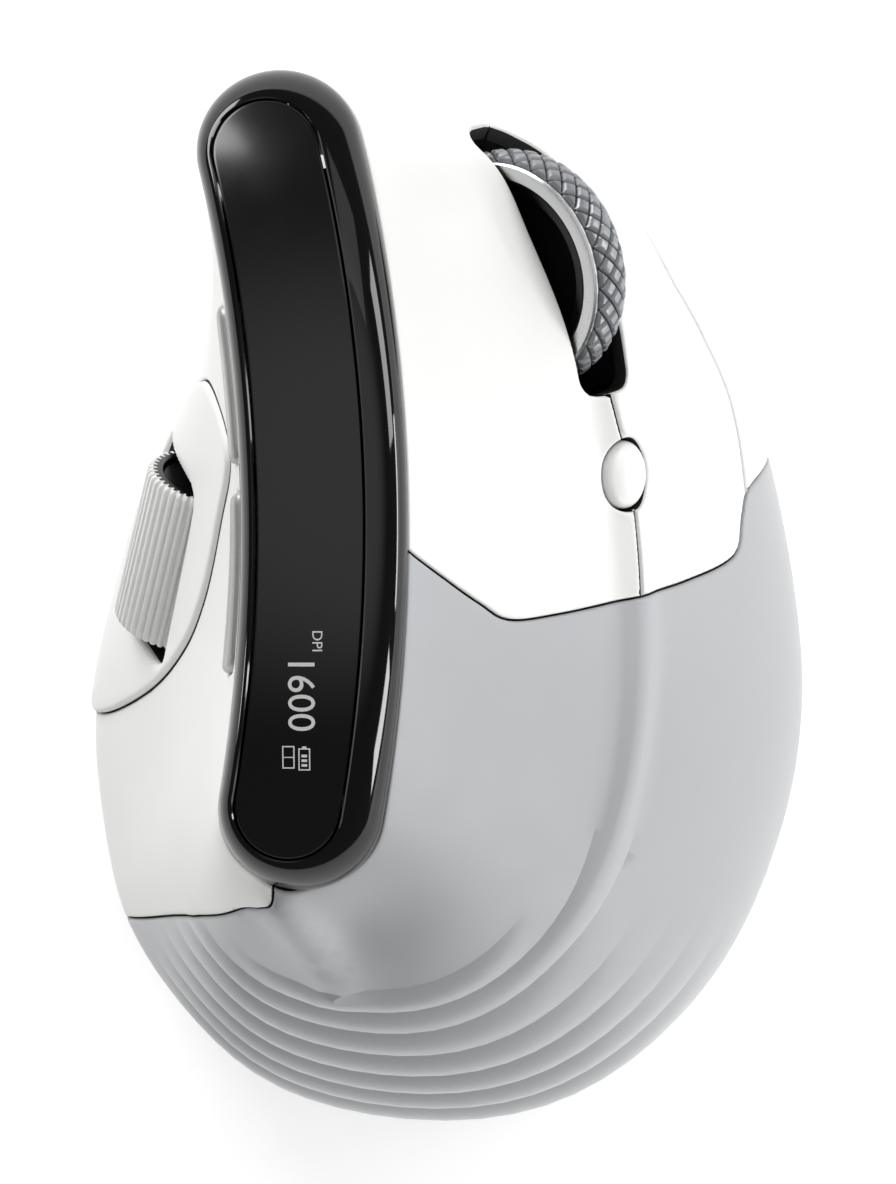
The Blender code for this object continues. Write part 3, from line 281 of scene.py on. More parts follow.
@dataclass(frozen=True)
class RidgeBody:
    """The lofted outer surface, in (u, v): u runs round the band, v from the band's edge to the foot."""

    band: DisplayBandPlan = DisplayBandPlan()
    # Widest line: share of the way round, x, y, z.
    belly: tuple = (
        (0.000, -18.1, 56.4, 38),
        (0.045, -8.1, 55.8, 39),
        (0.080, 5.6, 51.9, 38),
        (0.150, 18.6, 44.5, 34),
        (0.220, 30.0, 30.1, 26),
        (0.290, 36.9, 9.4, 18),
        (0.340, 38.9, -3.8, 16),
        (0.385, 38.9, -14.4, 14),
        (0.425, 35.8, -28.2, 12),
        (0.452, 29.0, -41.6, 11),
        (0.475, 18.3, -51.7, 10),
        (0.500, 3.4, -56.8, 9),
        (0.525, -14.1, -55.0, 9),
        (0.550, -25.8, -48.3, 9),
        (0.580, -33.9, -38.3, 10),
        (0.620, -37.7, -27.2, 11),
        (0.665, -39.1, -15.0, 12),
        (0.710, -38.0, -5.0, 14),
        (0.750, -35.5, 4.9, 16),
        (0.800, -32.3, 14.3, 20),
        (0.860, -27.1, 25.2, 27),
        (0.920, -24.7, 38.5, 33),
        (0.960, -23.2, 50.0, 36),
    )
    # Section: share of the way round, shoulder reach, shoulder drop, belly reach, belly rise.
    section: tuple = (
        (0.00, 0.50, 6.0, 1.00, 6.0),
        (0.08, 0.25, 5.0, 1.00, 7.0),
        (0.20, 0.23, 10.0, 1.00, 11.0),
        (0.36, 0.23, 10.5, 1.00, 13.0),
        (0.45, 0.28, 8.0, 1.00, 15.0),
        (0.51, 0.32, 7.0, 0.95, 14.0),
        (0.58, 0.20, 12.0, 0.80, 11.0),
        (0.66, 0.06, 18.0, 0.75, 9.0),
        (0.78, 0.03, 18.0, 0.80, 12.0),
        (0.88, 0.20, 12.0, 0.95, 10.0),
        (0.95, 0.40, 6.0, 1.00, 8.0),
    )
    # How far the foot is drawn in from the belly.
    tuck: tuple = (
        (0.0, 5.0),
        (0.1, 4.5),
        (0.25, 3.5),
        (0.4, 3.0),
        (0.5, 3.0),
        (0.65, 3.0),
        (0.8, 3.5),
        (0.92, 4.5),
    )
    foot_z: float = 2.4
    belly_v: float = 0.75
    middle: tuple = (-1.0, -0.5)

    def __post_init__(self) -> None:
        """Makes the closed curves that the sections are read from."""
        object.__setattr__(self, "belly_at", closed_spline(self.belly))
        object.__setattr__(self, "section_at", closed_spline(self.section))
        object.__setattr__(self, "tuck_at", closed_spline(self.tuck))

    def reach(self, uv: Array) -> Array:
        """Share of the plan's way from the band's edge to the belly."""
        shoulder, _, belly, _ = self.section_at(uv[:, 0]).T
        return bezier(np.clip(uv[:, 1] / self.belly_v, -0.1, 1), 0, shoulder, belly, 1)

    def v_for(self, u: Array, reach: Array) -> Array:
        """The v at which a section has gone a share of its plan's way."""
        grid = np.linspace(0, 1, 101)
        shoulder, _, belly, _ = self.section_at(u).T
        out = [np.interp(r, bezier(grid, 0, s, b, 1), grid) for r, s, b in zip(reach, shoulder, belly)]
        return np.array(out) * self.belly_v

    def point(self, uv: Array) -> Array:
        """Points of the outer skin, in millimetres."""
        uv = np.atleast_2d(np.asarray(uv, float))
        u, v = uv[:, 0], uv[:, 1]
        edge, belly = self.band.loop(u), self.belly_at(u)
        _, drop, _, rise = self.section_at(u).T
        edge_z = self.band.height(edge[:, 0], edge[:, 1]) - self.band.edge_drop
        t = np.clip(v / self.belly_v, -0.1, 1)
        plan = edge + (belly[:, :2] - edge) * self.reach(uv)[:, None]
        z = bezier(t, edge_z, edge_z - drop, belly[:, 2] + rise, belly[:, 2])
        w = np.clip((v - self.belly_v) / (1 - self.belly_v), 0, 1)
        inward = np.array(self.middle) - belly[:, :2]
        inward /= np.linalg.norm(inward, axis=1)[:, None]
        plan = plan + inward * (bezier(w, 0, 0, 0.75, 1) * self.tuck_at(u)[:, 0])[:, None]
        z = z - bezier(w, 0, 0.4, 0.7, 1) * (belly[:, 2] - self.foot_z)
        return np.column_stack([plan, z])

    def slopes(self, uv: Array) -> tuple[Array, Array, Array]:
        """The surface's two derivatives and its outward normal."""
        step = 1e-4
        uv = np.atleast_2d(np.asarray(uv, float))
        along = (self.point(uv + [step, 0]) - self.point(uv - [step, 0])) / (2 * step)
        down = (self.point(uv + [0, step]) - self.point(uv - [0, step])) / (2 * step)
        normal = np.cross(along, down)
        return along, down, normal / np.linalg.norm(normal, axis=1)[:, None]

    def land(self, points: Array, direction: Sequence[float] = (0, 0, 1), lowest_v: float = 0.75) -> Array:
        """Where lines through points meet the skin.

        Args:
            points: Plan points or space points.
            direction: The lines' way, pointing out of the skin.
            lowest_v: How far down the first guess may lie.

        Returns:
            One (u, v) for each point.
        """
        points = np.atleast_2d(np.asarray(points, float))
        if points.shape[1] == 2:
            points = np.column_stack([points, np.zeros(len(points))])
        z = np.asarray(direction, float) / np.linalg.norm(direction)
        x = np.cross(z, [0.0, 1.0, 0.0] if abs(z[1]) < 0.9 else [1.0, 0.0, 0.0])
        x /= np.linalg.norm(x)
        across = np.stack([x, np.cross(z, x)], 1)
        mesh = np.meshgrid(np.linspace(0, 1, 160, False), np.linspace(0.01, lowest_v, 40))
        grid = np.stack(mesh, -1).reshape(-1, 2)
        grid = grid[self.slopes(grid)[2] @ z > 0]
        seen, wanted = self.point(grid) @ across, points @ across
        uv = grid[np.argmin(((wanted[:, None] - seen[None]) ** 2).sum(2), axis=1)]
        for _ in range(12):
            along, down, _ = self.slopes(uv)
            jacobian = np.stack([along @ across, down @ across], 2)
            miss = wanted - self.point(uv) @ across
            move = np.linalg.solve(jacobian, miss[:, :, None])[:, :, 0]
            uv = uv + np.clip(move, -0.05, 0.05)
            uv[:, 1] = np.clip(uv[:, 1], -0.05, 1)
        return uv


BODY = RidgeBody()
BAND = BODY.band
# Millimetres for one unit of u and of v, about.
UV_MM = np.array([250.0, 75.0])
EDGE_STEP = 0.8


def seam(points: Sequence[Sequence[float]], step: float = EDGE_STEP) -> Array:
    """A smooth seam in (u, v) through points in (u, v)."""
    return smooth_path(np.asarray(points, float) * UV_MM, step) / UV_MM


def straight(start: Sequence[float], end: Sequence[float]) -> Array:
    """A straight run in (u, v)."""
    return even(np.array([start, end], float) * UV_MM, EDGE_STEP) / UV_MM


def joined(*paths: Array) -> Array:
    """One closed loop from open paths laid end to end, with no point twice."""
    loop = np.vstack(paths)
    return loop[np.linalg.norm((loop - np.roll(loop, 1, 0)) * UV_MM, axis=1) > 0.08]


def cut_at(path: Array, point: Sequence[float]) -> tuple[Array, Array]:
    """A path in two, at its sample nearest to a point."""
    i = int(np.argmin(np.linalg.norm((path - point) * UV_MM, axis=1)))
    return path[: i + 1], path[i:]


def detour(path: Array, loop: Array, side: Sequence[float]) -> Array:
    """A path that goes round a closed loop instead of through it, on the side of a given point."""
    fine, edge = even(path * UV_MM, 0.25), loop * UV_MM
    hit = np.flatnonzero(inside(fine, [edge]))
    i = int(np.argmin(np.linalg.norm(edge - fine[hit[0]], axis=1)))
    j = int(np.argmin(np.linalg.norm(edge - fine[hit[-1]], axis=1)))
    count = len(edge)
    ahead = edge[[(i + k) % count for k in range((j - i) % count + 1)]]
    back = edge[[(i - k) % count for k in range((i - j) % count + 1)]]
    target = np.asarray(side, float) * UV_MM
    around = min((ahead, back), key=lambda way: float(np.linalg.norm(way.mean(0) - target)))
    before, after = fine[: hit[0]][::3], fine[hit[-1] + 1 :][::3]
    return np.vstack([before, around, after, fine[-1:]]) / UV_MM


def inset(loop: Array, distance: float) -> Array:
    """A loop in (u, v), moved along the skin by a distance in millimetres, inwards if positive."""
    if signed_area(loop) < 0:
        loop = loop[::-1]
    points = BODY.point(loop)
    along, down, normal = BODY.slopes(loop)
    ahead = np.roll(points, -1, 0) - points
    ahead /= np.linalg.norm(ahead, axis=1)[:, None]
    behind = np.roll(ahead, 1, 0)
    left, right = np.cross(normal, ahead), np.cross(normal, behind)
    mitre = (left + right) / np.maximum(0.35, 1 + (left * right).sum(1))[:, None]
    jacobian = np.stack([along, down], 2)
    return loop + (np.linalg.pinv(jacobian) @ (mitre * distance)[:, :, None])[:, :, 0]


def frame_at(origin: Sequence[float], z_axis: Sequence[float], x_hint: Sequence[float]) -> Matrix:
    """A placing matrix in millimetres, z along an axis and x as near as it can be to a hint."""
    z, x = Vector(z_axis).normalized(), Vector(x_hint)
    x = (x - z * x.dot(z)).normalized()
    matrix = Matrix((x, z.cross(x), z)).transposed().to_4x4()
    matrix.translation = Vector(origin)
    return matrix


def traced(matrix: Matrix, outline: Array) -> Array:
    """An outline drawn in a frame's x and y, laid on the skin along its z, in (u, v)."""
    points = np.array([tuple(matrix @ Vector((x, y, 0))) for x, y in outline])
    return BODY.land(points, tuple(matrix.col[2][:3]))


# ================================================================ seams on the skin


@dataclass
class SeamPlan:
    """Every parting line of the moulded walls, as paths and loops in (u, v)."""

    front_v: float = 0.88
    key_split_front: float = 0.066
    wheel_spot: tuple = (12.5, 38.1)
    wheel_axle: tuple = (-0.598, -0.233, 0.766)
    slot_size: tuple = (31.6, 7.0)
    slot_corner: float = 2.2
    dpi_spot: tuple = (19.0, 14.1)
    dpi_size: tuple = (3.4, 3.9)
    forward_u: tuple = (0.7605, 0.852)
    back_u: tuple = (0.6435, 0.7445)
    side_v: tuple = (0.026, 0.104)
    side_corner: float = 1.6
    roller_spot: tuple = (-30.8, 6.1)
    roller_slot: tuple = (21.8, 14.4)
    roller_slot_corner: float = 1.8
    # Share of the skin's own climb that the roller's axis keeps.
    roller_climb: float = 0.92
    socket_spot: tuple = (-6.0, 0.0, 9.5)
    socket_mouth: tuple = (10.2, 4.4)
    socket_corner: float = 2.1

    def __post_init__(self) -> None:
        """Lays the lines on the skin."""
        self._lay_long_seams()
        self._lay_wheel_slot()
        self._lay_buttons()
        self._lay_thumb_plate()
        left, right = (detour(self.key_split, self.slot_loop, (0.17, v)) for v in (0.2, 0.6))
        self.left_split = detour(left, self.dpi_loop, (0.266, 0.2))
        self.right_split = detour(right, self.dpi_loop, (0.266, 0.6))
        self._close_panels()

    def _lay_long_seams(self) -> None:
        """Lays the seams between the keys, the skirt, the cover and the thumb panel."""
        front, split = self.front_v, self.key_split_front
        on_top = [(2.4, 52.9), (5.6, 48.9), (11.5, 37.1), (16.9, 23.2), (19.0, 14.1), (20.3, 1.0)]
        split_on_top = BODY.land(on_top)
        self.key_split = seam([(split, front), (0.068, 0.82), *split_on_top])
        outer_on_top = BODY.land([(23.5, 36.9), (27.4, 30.0), (30.8, 22.4), (32.6, 12.1)])
        start = [(0.0, front), (0.035, 0.883), (split, front), (0.11, 0.84), (0.15, 0.74)]
        self.outer_seam = seam([*start, *outer_on_top])
        near = [(-0.8, 3.3), (3.4, 0.3), (6.6, -1.5), (12.0, -0.9), (20.3, 1.0)]
        far = [(26.2, 2.8), (31.3, 5.5), (32.1, 9.4), (32.6, 12.1), (33.9, 14.0)]
        rear_on_top = BODY.land(near + far)
        self.rear_seam = seam([(0.288, 0.0), *rear_on_top, (0.266, 0.745), (0.262, 0.86), (0.262, 1.0)])
        rear_left = [(-18.7, -31.3), (-20.0, -32.1), (-23.0, -32.9), (-29.3, -33.9), (-35.2, -34.7)]
        left_on_top = BODY.land(rear_left)
        self.left_seam = seam([(0.508, 0.0), *left_on_top, (0.597, 0.86), (0.600, 1.0)])
        self.rear_left_key, rest = cut_at(self.rear_seam, split_on_top[-1])
        self.rear_right_key, self.rear_side = cut_at(rest, outer_on_top[-1])
        self.outer_seam[-1] = self.rear_side[0]
        self.key_split[-1] = self.rear_left_key[-1]
        self.outer_left, self.outer_right = cut_at(self.outer_seam, (split, front))
        self.key_split[0] = self.outer_left[-1]

    def _lay_wheel_slot(self) -> None:
        """Finds the wheel's place and cuts its slot across the key split."""
        axle = np.array(self.wheel_axle)
        spot = BODY.land([self.wheel_spot])
        normal = BODY.slopes(spot)[2][0]
        out = normal - axle * (normal @ axle)
        self.wheel_out = out / np.linalg.norm(out)
        forward = np.cross(self.wheel_out, axle)
        self.wheel_forward = forward * math.copysign(1.0, forward[1])
        self.wheel_top = BODY.point(spot)[0]
        frame = frame_at(self.wheel_top, self.wheel_out, self.wheel_forward)
        self.slot_loop = traced(frame, round_box(*self.slot_size, self.slot_corner))

    def _lay_buttons(self) -> None:
        """Lays the DPI button's oval and the two long side buttons."""
        spot = BODY.land([self.dpi_spot])
        frame = frame_at(BODY.point(spot)[0], BODY.slopes(spot)[2][0], (-0.1, 1.0, 0.0))
        self.dpi_loop = traced(frame, ellipse(48, self.dpi_size[1], self.dpi_size[0]))
        self.forward_loop = self._side_button(self.forward_u)
        self.back_loop = self._side_button(self.back_u)

    def _side_button(self, ends: tuple) -> Array:
        """A long rounded button along the band."""
        # Millimetres for one unit of u and of v beside the band's left edge.
        scale = np.array([196.0, 88.0])
        centre = np.array([sum(ends) / 2, sum(self.side_v) / 2])
        size = np.array([ends[1] - ends[0], self.side_v[1] - self.side_v[0]]) * scale
        loop = round_box(*size, self.side_corner, 6)
        loop = even(np.vstack([loop, loop[:1]]), EDGE_STEP)[:-1]
        return centre + loop / scale

    def _lay_thumb_plate(self) -> None:
        """Lays the thumb plate's outline and the roller's slot in it."""
        top = [(-24.4, 21.2), (-23.1, 15.6), (-24.2, 9.2), (-26.2, 0.6), (-28.6, -4.8), (-32.7, -9.3)]
        upper = seam([(0.841, 0.53), (0.828, 0.34), *BODY.land(top), (0.677, 0.72), (0.695, 0.80)])
        below = [(0.695, 0.80), (0.74, 0.815), (0.80, 0.805), (0.838, 0.76), (0.848, 0.65), (0.841, 0.53)]
        self.plate_loop = joined(upper, seam(below)[:-1])
        ends = BODY.point(BODY.land([(-28.9, 14.0), (-32.9, -1.8)]))
        axis = (ends[0] - ends[1]) * [1.0, 1.0, self.roller_climb]
        self.roller_axis = axis / np.linalg.norm(axis)
        spot = BODY.land([self.roller_spot])
        normal = BODY.slopes(spot)[2][0]
        normal = normal - self.roller_axis * (normal @ self.roller_axis)
        self.roller_out = normal / np.linalg.norm(normal)
        self.roller_top = BODY.point(spot)[0]
        frame = frame_at(self.roller_top, self.roller_out, self.roller_axis)
        loop = round_box(*self.roller_slot, self.roller_slot_corner)
        loop = even(np.vstack([loop, loop[:1]]), EDGE_STEP)[:-1]
        self.roller_loop = traced(frame, loop)

    def _close_panels(self) -> None:
        """Joins the seams to one closed loop for each panel."""
        front = straight((0.0, 0.0), (0.288, 0.0))
        rear = straight((0.288, 0.0), (0.508, 0.0))
        left = straight((0.508, 0.0), (1.0, 0.0))
        nose = straight((0, self.front_v), (0, 0))
        split, edge = self.left_split[::-1], self.outer_left[::-1]
        self.left_key = joined(front, self.rear_left_key, split, edge, nose)
        self.right_key = joined(self.right_split, self.rear_right_key, self.outer_right[::-1])
        chin = straight((0, 1), (0, self.front_v))
        self.skirt = joined(self.outer_seam, self.rear_side, straight((0.262, 1.0), (0.0, 1.0)), chin)
        foot = straight((0.6, 1.0), (0.262, 1.0))
        self.cover = joined(rear, self.left_seam, foot, self.rear_seam[::-1])
        nose_side, thumb_foot = straight((1, 0), (1, 1)), straight((1, 1), (0.6, 1))
        self.thumb = joined(left, nose_side, thumb_foot, self.left_seam[::-1])

    def socket_loop(self) -> Array:
        """The outline of the charging socket's mouth in the skirt's nose."""
        spot = BODY.land([self.socket_spot], (0, 1, 0), 1.0)
        out = BODY.slopes(spot)[2][0] * [1, 1, 0]
        frame = frame_at(BODY.point(spot)[0], out, (1, 0, 0))
        mouth = round_box(*self.socket_mouth, self.socket_corner)
        return BODY.land(np.array([tuple(frame @ Vector((x, y, 0))) for x, y in mouth]), out, 1.0)


# ================================================================ relief moulded into the skin


@dataclass(frozen=True)
class WaveRelief:
    """Soft forms on the skin: one long rib along the finger side, and waves like a palm's folds behind.

    Places are shares of the plan's way from the band's edge to the belly.
    """

    rib_inner: tuple = (
        (0.19, 0.585),
        (0.234, 0.54),
        (0.262, 0.523),
        (0.32, 0.522),
        (0.40, 0.522),
        (0.50, 0.527),
        (0.60, 0.53),
    )
    rib_outer: tuple = (
        (0.19, 0.72),
        (0.231, 0.69),
        (0.266, 0.659),
        (0.32, 0.65),
        (0.37, 0.634),
        (0.423, 0.626),
        (0.46, 0.603),
        (0.50, 0.614),
        (0.60, 0.618),
    )
    folds: tuple = (0.71, 0.80, 0.877, 0.944, 1.0)
    first_fold: float = 0.44
    rib_height: float = 0.85
    wave_height: float = 0.75
    # Shares of the way round over which the waves rise, then sink.
    waves_rise: tuple = (0.435, 0.482)
    waves_sink: tuple = (0.532, 0.58)
    dish_depth: float = 2.0
    dish_centre: tuple = (-9.0, -35.8)
    dish_radii: tuple = (6.0, 5.4)
    spur: tuple = (-17.8, -32.2, -12.2, -40.6)
    spur_width: float = 2.2
    spur_height: float = 1.6

    def edges(self, u: Array) -> list[Array]:
        """The creases' shares at u, from the first fold to the belly."""
        inner = np.interp(u, *np.array(self.rib_inner).T)
        outer = np.interp(u, *np.array(self.rib_outer).T)
        return [np.full(len(u), self.first_fold), inner, outer, *[np.full(len(u), f) for f in self.folds]]

    def height(self, uv: Array) -> Array:
        """How far the relief stands over the skin, in millimetres."""
        u, share = uv[:, 0] % 1.0, BODY.reach(uv)
        edges = self.edges(u)
        total = np.zeros(len(uv))
        waves = ramp(u, *self.waves_rise) * (1 - ramp(u, *self.waves_sink))
        crisp = ramp(u, 0.40, 0.46)
        for k, (low, high) in enumerate(zip(edges, edges[1:])):
            x = np.clip((share - low) / (high - low), 0, 1)
            if k == 0:
                strength = self.wave_height * ramp(u, 0.446, 0.474) * (1 - ramp(u, 0.505, 0.55))
                total += strength * 4 * x * (1 - x)
            elif k == 1:
                strength = self.rib_height * ramp(u, 0.18, 0.225) * (1 - ramp(u, 0.53, 0.585))
                strength = strength * (1 - 0.25 * crisp)
                total += strength * ((1 - crisp) * np.sin(math.pi * x) ** 2 + crisp * 4 * x * (1 - x))
            else:
                total += waves * self.wave_height * 4 * x * (1 - x)
        return total + self._pocket(BODY.point(uv)[:, :2])

    def _pocket(self, plan: Array) -> Array:
        """The hollow behind the band, and the soft spur that bounds it on the thumb side."""
        off = (plan - np.array(self.dish_centre)) / np.array(self.dish_radii)
        hollow = np.exp(-(off**2).sum(1))
        start, end = np.array(self.spur[:2]), np.array(self.spur[2:])
        span = end - start
        t = np.clip((plan - start) @ span / (span @ span), 0, 1)
        gap = np.linalg.norm(plan - start - t[:, None] * span, axis=1)
        ridge = np.exp(-((gap / self.spur_width) ** 2))
        return self.spur_height * ridge - self.dish_depth * hollow

    def crease_rows(self) -> list[Array]:
        """Lines along every crease in (u, v), where the folds are sharp."""
        rows = []
        starts = (0.452, 0.42, 0.42, 0.432, 0.432, 0.432, 0.432)
        ends = (0.545, 0.58, 0.58, 0.572, 0.572, 0.572, 0.572)
        for k, (start, end) in enumerate(zip(starts, ends)):
            u = np.linspace(start, end, round((end - start) * 170))
            rows.append(np.column_stack([u, BODY.v_for(u, self.edges(u)[k])]))
        return rows

    def mid_rows(self) -> list[Array]:
        """Lines between the creases, so that each fold's round back has points enough."""
        rows = []
        for k in range(7):
            u = np.linspace(0.432, 0.572, 26)
            edges = self.edges(u)
            for x in (0.14, 0.32, 0.5, 0.68, 0.86):
                share = edges[k] + (edges[k + 1] - edges[k]) * x
                rows.append(np.column_stack([u, BODY.v_for(u, share)]))
        u = np.linspace(0.178, 0.43, 100)
        edges = self.edges(u)
        for x in (0.0, 0.17, 0.34, 0.5, 0.66, 0.83, 1.0):
            rows.append(np.column_stack([u, BODY.v_for(u, edges[1] + (edges[2] - edges[1]) * x)]))
        return rows


RELIEF = WaveRelief()


# ================================================================ mesh making


def new_object(
    name: str, points: Array, faces: Sequence[Sequence[int]], angle: float = 40.0
) -> bpy.types.Object:
    """An object in the scene from points in millimetres.

    Args:
        name: The piece's name.
        points: Its corners, in the design's frame.
        faces: Its faces' corners.
        angle: Edges sharper than this many degrees are shaded sharp.

    Returns:
        The object.
    """
    mesh = bpy.data.meshes.new(name)
    mesh.from_pydata(((points + CENTRING) * MM).tolist(), [], [tuple(int(i) for i in f) for f in faces])
    mesh.update()
    mesh.shade_smooth()
    mesh.set_sharp_from_angle(angle=math.radians(angle))
    made = bpy.data.objects.new(name, mesh)
    bpy.context.scene.collection.objects.link(made)
    return made


def grid_faces(rows: int, columns: int, closed_rows: bool = False) -> list[tuple[int, ...]]:
    """Quads of a grid that closes on itself along its columns, and along its rows if asked."""
    last = rows if closed_rows else rows - 1
    out = []
    for k in range(last):
        low, high = k * columns, ((k + 1) % rows) * columns
        for i in range(columns):
            j = (i + 1) % columns
            out.append((low + i, low + j, high + j, high + i))
    return out


def around_axle(radius: Union[float, Array], z: float, count: int) -> Array:
    """Points round the z axis at a height, all at one radius or each at its own."""
    angle = np.arange(count) * 2 * math.pi / count
    return np.column_stack([radius * np.cos(angle), radius * np.sin(angle), np.full(count, z)])


def swept(name: str, frame: Matrix, rows: Sequence[Array], angle: float) -> bpy.types.Object:
    """A closed turned piece from rings of points in its own frame, the last joined to the first.

    Args:
        name: The piece's name.
        frame: Its place, in millimetres.
        rows: Its rings, each with the same number of points.
        angle: Edges sharper than this many degrees are shaded sharp.

    Returns:
        The object.
    """
    matrix = np.array(frame)
    points = np.vstack(rows) @ matrix[:3, :3].T + matrix[:3, 3]
    return new_object(name, points, grid_faces(len(rows), len(rows[0]), True), angle)


def filled(
    loops: Sequence[Array],
    step: float,
    rows: Sequence[Array] = (),
    creases: Sequence[Array] = (),
) -> tuple[Array, Array]:
    """Triangles over the area between loops in a plane.

    Args:
        loops: The outline, then its holes.
        step: Spacing of the inner grid.
        rows: More inner lines of points.
        creases: Lines whose edges must be kept.

    Returns:
        The points and the triangles.
    """
    low, high = loops[0].min(0), loops[0].max(0)
    extra = [r[inside(r, loops)] for r in rows if len(r)]
    kept_creases = []
    for crease in creases:
        within = inside(crease, loops) & (distance_to(crease, loops, 1.0) > 0.7)
        runs = np.split(np.arange(len(crease)), np.flatnonzero(np.diff(within.astype(int))) + 1)
        kept_creases += [crease[run] for run in runs if within[run[0]] and len(run) > 2]
    grid = []
    for k, y in enumerate(np.arange(low[1], high[1], step * 0.87)):
        x = np.arange(low[0] + (k % 2) * step / 2, high[0], step)
        grid.append(np.column_stack([x, np.full(len(x), y)]))
    grid = np.vstack(grid)
    grid = grid[inside(grid, loops)]
    grid = grid[distance_to(grid, loops, step) > max(0.85, step * 0.5)]
    fixed = np.vstack([*extra, *kept_creases]) if extra or kept_creases else np.zeros((0, 2))
    if len(fixed):
        cells = {(int(x), int(y)) for x, y in np.floor(fixed / (step * 0.8))}
        busy = [(int(x), int(y)) in cells for x, y in np.floor(grid / (step * 0.8))]
        grid = grid[~np.array(busy)]
    edges, start = [], 0
    for loop in loops:
        count = len(loop)
        edges += [(start + i, start + (i + 1) % count) for i in range(count)]
        start += count
    for crease in kept_creases:
        edges += [(start + i, start + i + 1) for i in range(len(crease) - 1)]
        start += len(crease)
    corners = [Vector(p) for p in np.vstack([*loops, *kept_creases, *extra, grid])]
    points, _, faces, *_ = delaunay_2d_cdt(corners, edges, [], 1, 1e-5)
    points = np.array([(p.x, p.y) for p in points])
    faces = np.array([tuple(f) for f in faces])
    return points, faces[inside(points[faces].mean(1), loops)]


def spans_wall(
    name: str,
    outer: Array,
    inner: Array,
    faces: Array,
    creased: Optional[Array] = None,
    angle: float = 34.0,
) -> bpy.types.Object:
    """A closed wall from an outer and an inner sheet that share their triangles.

    Args:
        name: The piece's name.
        outer: Corners of the outer sheet, in millimetres.
        inner: Corners of the inner sheet.
        faces: Triangles, counter-clockwise from outside.
        creased: Which corners lie on a crease.
        angle: Edges sharper than this many degrees are shaded sharp.

    Returns:
        The object.
    """
    count = len(outer)
    ends = np.concatenate([faces[:, [0, 1]], faces[:, [1, 2]], faces[:, [2, 0]]])
    key = ends[:, 0].astype(np.int64) * count + ends[:, 1]
    back = ends[:, 1].astype(np.int64) * count + ends[:, 0]
    rim = ends[~np.isin(key, back)]
    sides = [(b, a, a + count, b + count) for a, b in rim]
    walls = [*faces.tolist(), *(faces[:, ::-1] + count).tolist(), *sides]
    made = new_object(name, np.vstack([outer, inner]), walls, angle)
    # The inside and the cut edges take the second finish. On the moulded walls that is black: light-stopping
    # paint on the inside, painted shade down the cut edges in the seams.
    for polygon in made.data.polygons[len(faces) :]:
        polygon.material_index = 1
    if creased is not None and creased.any():
        sharp = bmesh.new()
        sharp.from_mesh(made.data)
        for edge in sharp.edges:
            a, b = (v.index for v in edge.verts)
            if a < count and b < count and creased[a] and creased[b] and edge.calc_face_angle(0) > 0.1:
                edge.smooth = False
        sharp.to_mesh(made.data)
        sharp.free()
    return made


def rounded_drop(distance: Array, radius: float) -> Array:
    """How far a rounded rim lies under the face at a distance from its edge."""
    inward = np.clip(radius - distance, 0, radius)
    return radius - np.sqrt(np.maximum(radius**2 - inward**2, 0))


@dataclass
class MouldedWall:
    """A moulded wall: a patch of the body's skin with a rounded rim, thickened inwards."""

    name: str
    outline: Array
    holes: tuple = ()
    gap: float = 0.12
    hole_gap: float = -0.2
    proud: float = 0.0
    thickness: float = 1.8
    rim: float = 0.32
    step: float = 1.6
    dome: float = 0.0
    relief: bool = False

    def build(self) -> bpy.types.Object:
        """Makes the wall.

        Returns:
            The object, at its place.
        """
        loops = [inset(self.outline, self.gap)]
        loops += [inset(hole, self.hole_gap) for hole in self.holes]
        rim_points = [BODY.point(loop) for loop in loops]
        rows = []
        for share in (0.12, 0.35, 0.65, 1.0, 2.2):
            far = share * self.rim
            for k, loop in enumerate(loops):
                row = inset(loop, far if k == 0 else -far)
                clear = distance_to(BODY.point(row), rim_points, 2.5 * self.rim) > 0.93 * far
                rows.append(row[clear] * UV_MM)
        creases = []
        if self.relief:
            creases = [row * UV_MM for row in RELIEF.crease_rows()]
            for row in RELIEF.mid_rows():
                clear = distance_to(BODY.point(row), rim_points, 2.0) > 1.2
                rows.append(row[clear] * UV_MM)
        points, faces = filled([loop * UV_MM for loop in loops], self.step, rows, creases)
        uv = points / UV_MM
        skin, normal = BODY.point(uv), BODY.slopes(uv)[2]
        distance = distance_to(skin, rim_points, 6.0)
        height = self.proud - rounded_drop(distance, self.rim)
        height += self.dome * np.sin(np.clip(distance / 3.2, 0, 1) * math.pi / 2)
        creased, low = None, np.zeros(len(uv))
        if self.relief:
            form = RELIEF.height(uv)
            height += form
            low = np.minimum(form, 0)
            lines = np.vstack(creases)
            cells = {(round(x, 2), round(y, 2)) for x, y in lines}
            creased = np.array([(round(x, 2), round(y, 2)) in cells for x, y in points])
        outer = skin + normal * height[:, None]
        inner = skin + normal * (self.proud - self.thickness + low)[:, None]
        return spans_wall(self.name, outer, inner, faces, creased)


# ================================================================ finishes


def linear(code: str) -> tuple[float, float, float, float]:
    """A linear colour with full alpha from an sRGB hex value."""
    channels = [int(code[k : k + 2], 16) / 255 for k in (0, 2, 4)]
    red, green, blue = (c / 12.92 if c <= 0.04045 else ((c + 0.055) / 1.055) ** 2.4 for c in channels)
    return red, green, blue, 1.0


def put(
    tree: bpy.types.NodeTree, kind: str, inputs: Optional[dict] = None, **settings: object
) -> bpy.types.Node:
    """Adds a node with its settings and links.

    Args:
        tree: The material's node tree.
        kind: The node's kind, without its ShaderNode prefix.
        inputs: Value or linked socket for each input, by name or number.
        settings: The node's own settings.

    Returns:
        The node.
    """
    made = tree.nodes.new("ShaderNode" + kind)
    for name, value in settings.items():
        setattr(made, name, value)
    for key, value in (inputs or {}).items():
        if isinstance(value, bpy.types.NodeSocket):
            tree.links.new(value, made.inputs[key])
        else:
            made.inputs[key].default_value = value
    return made


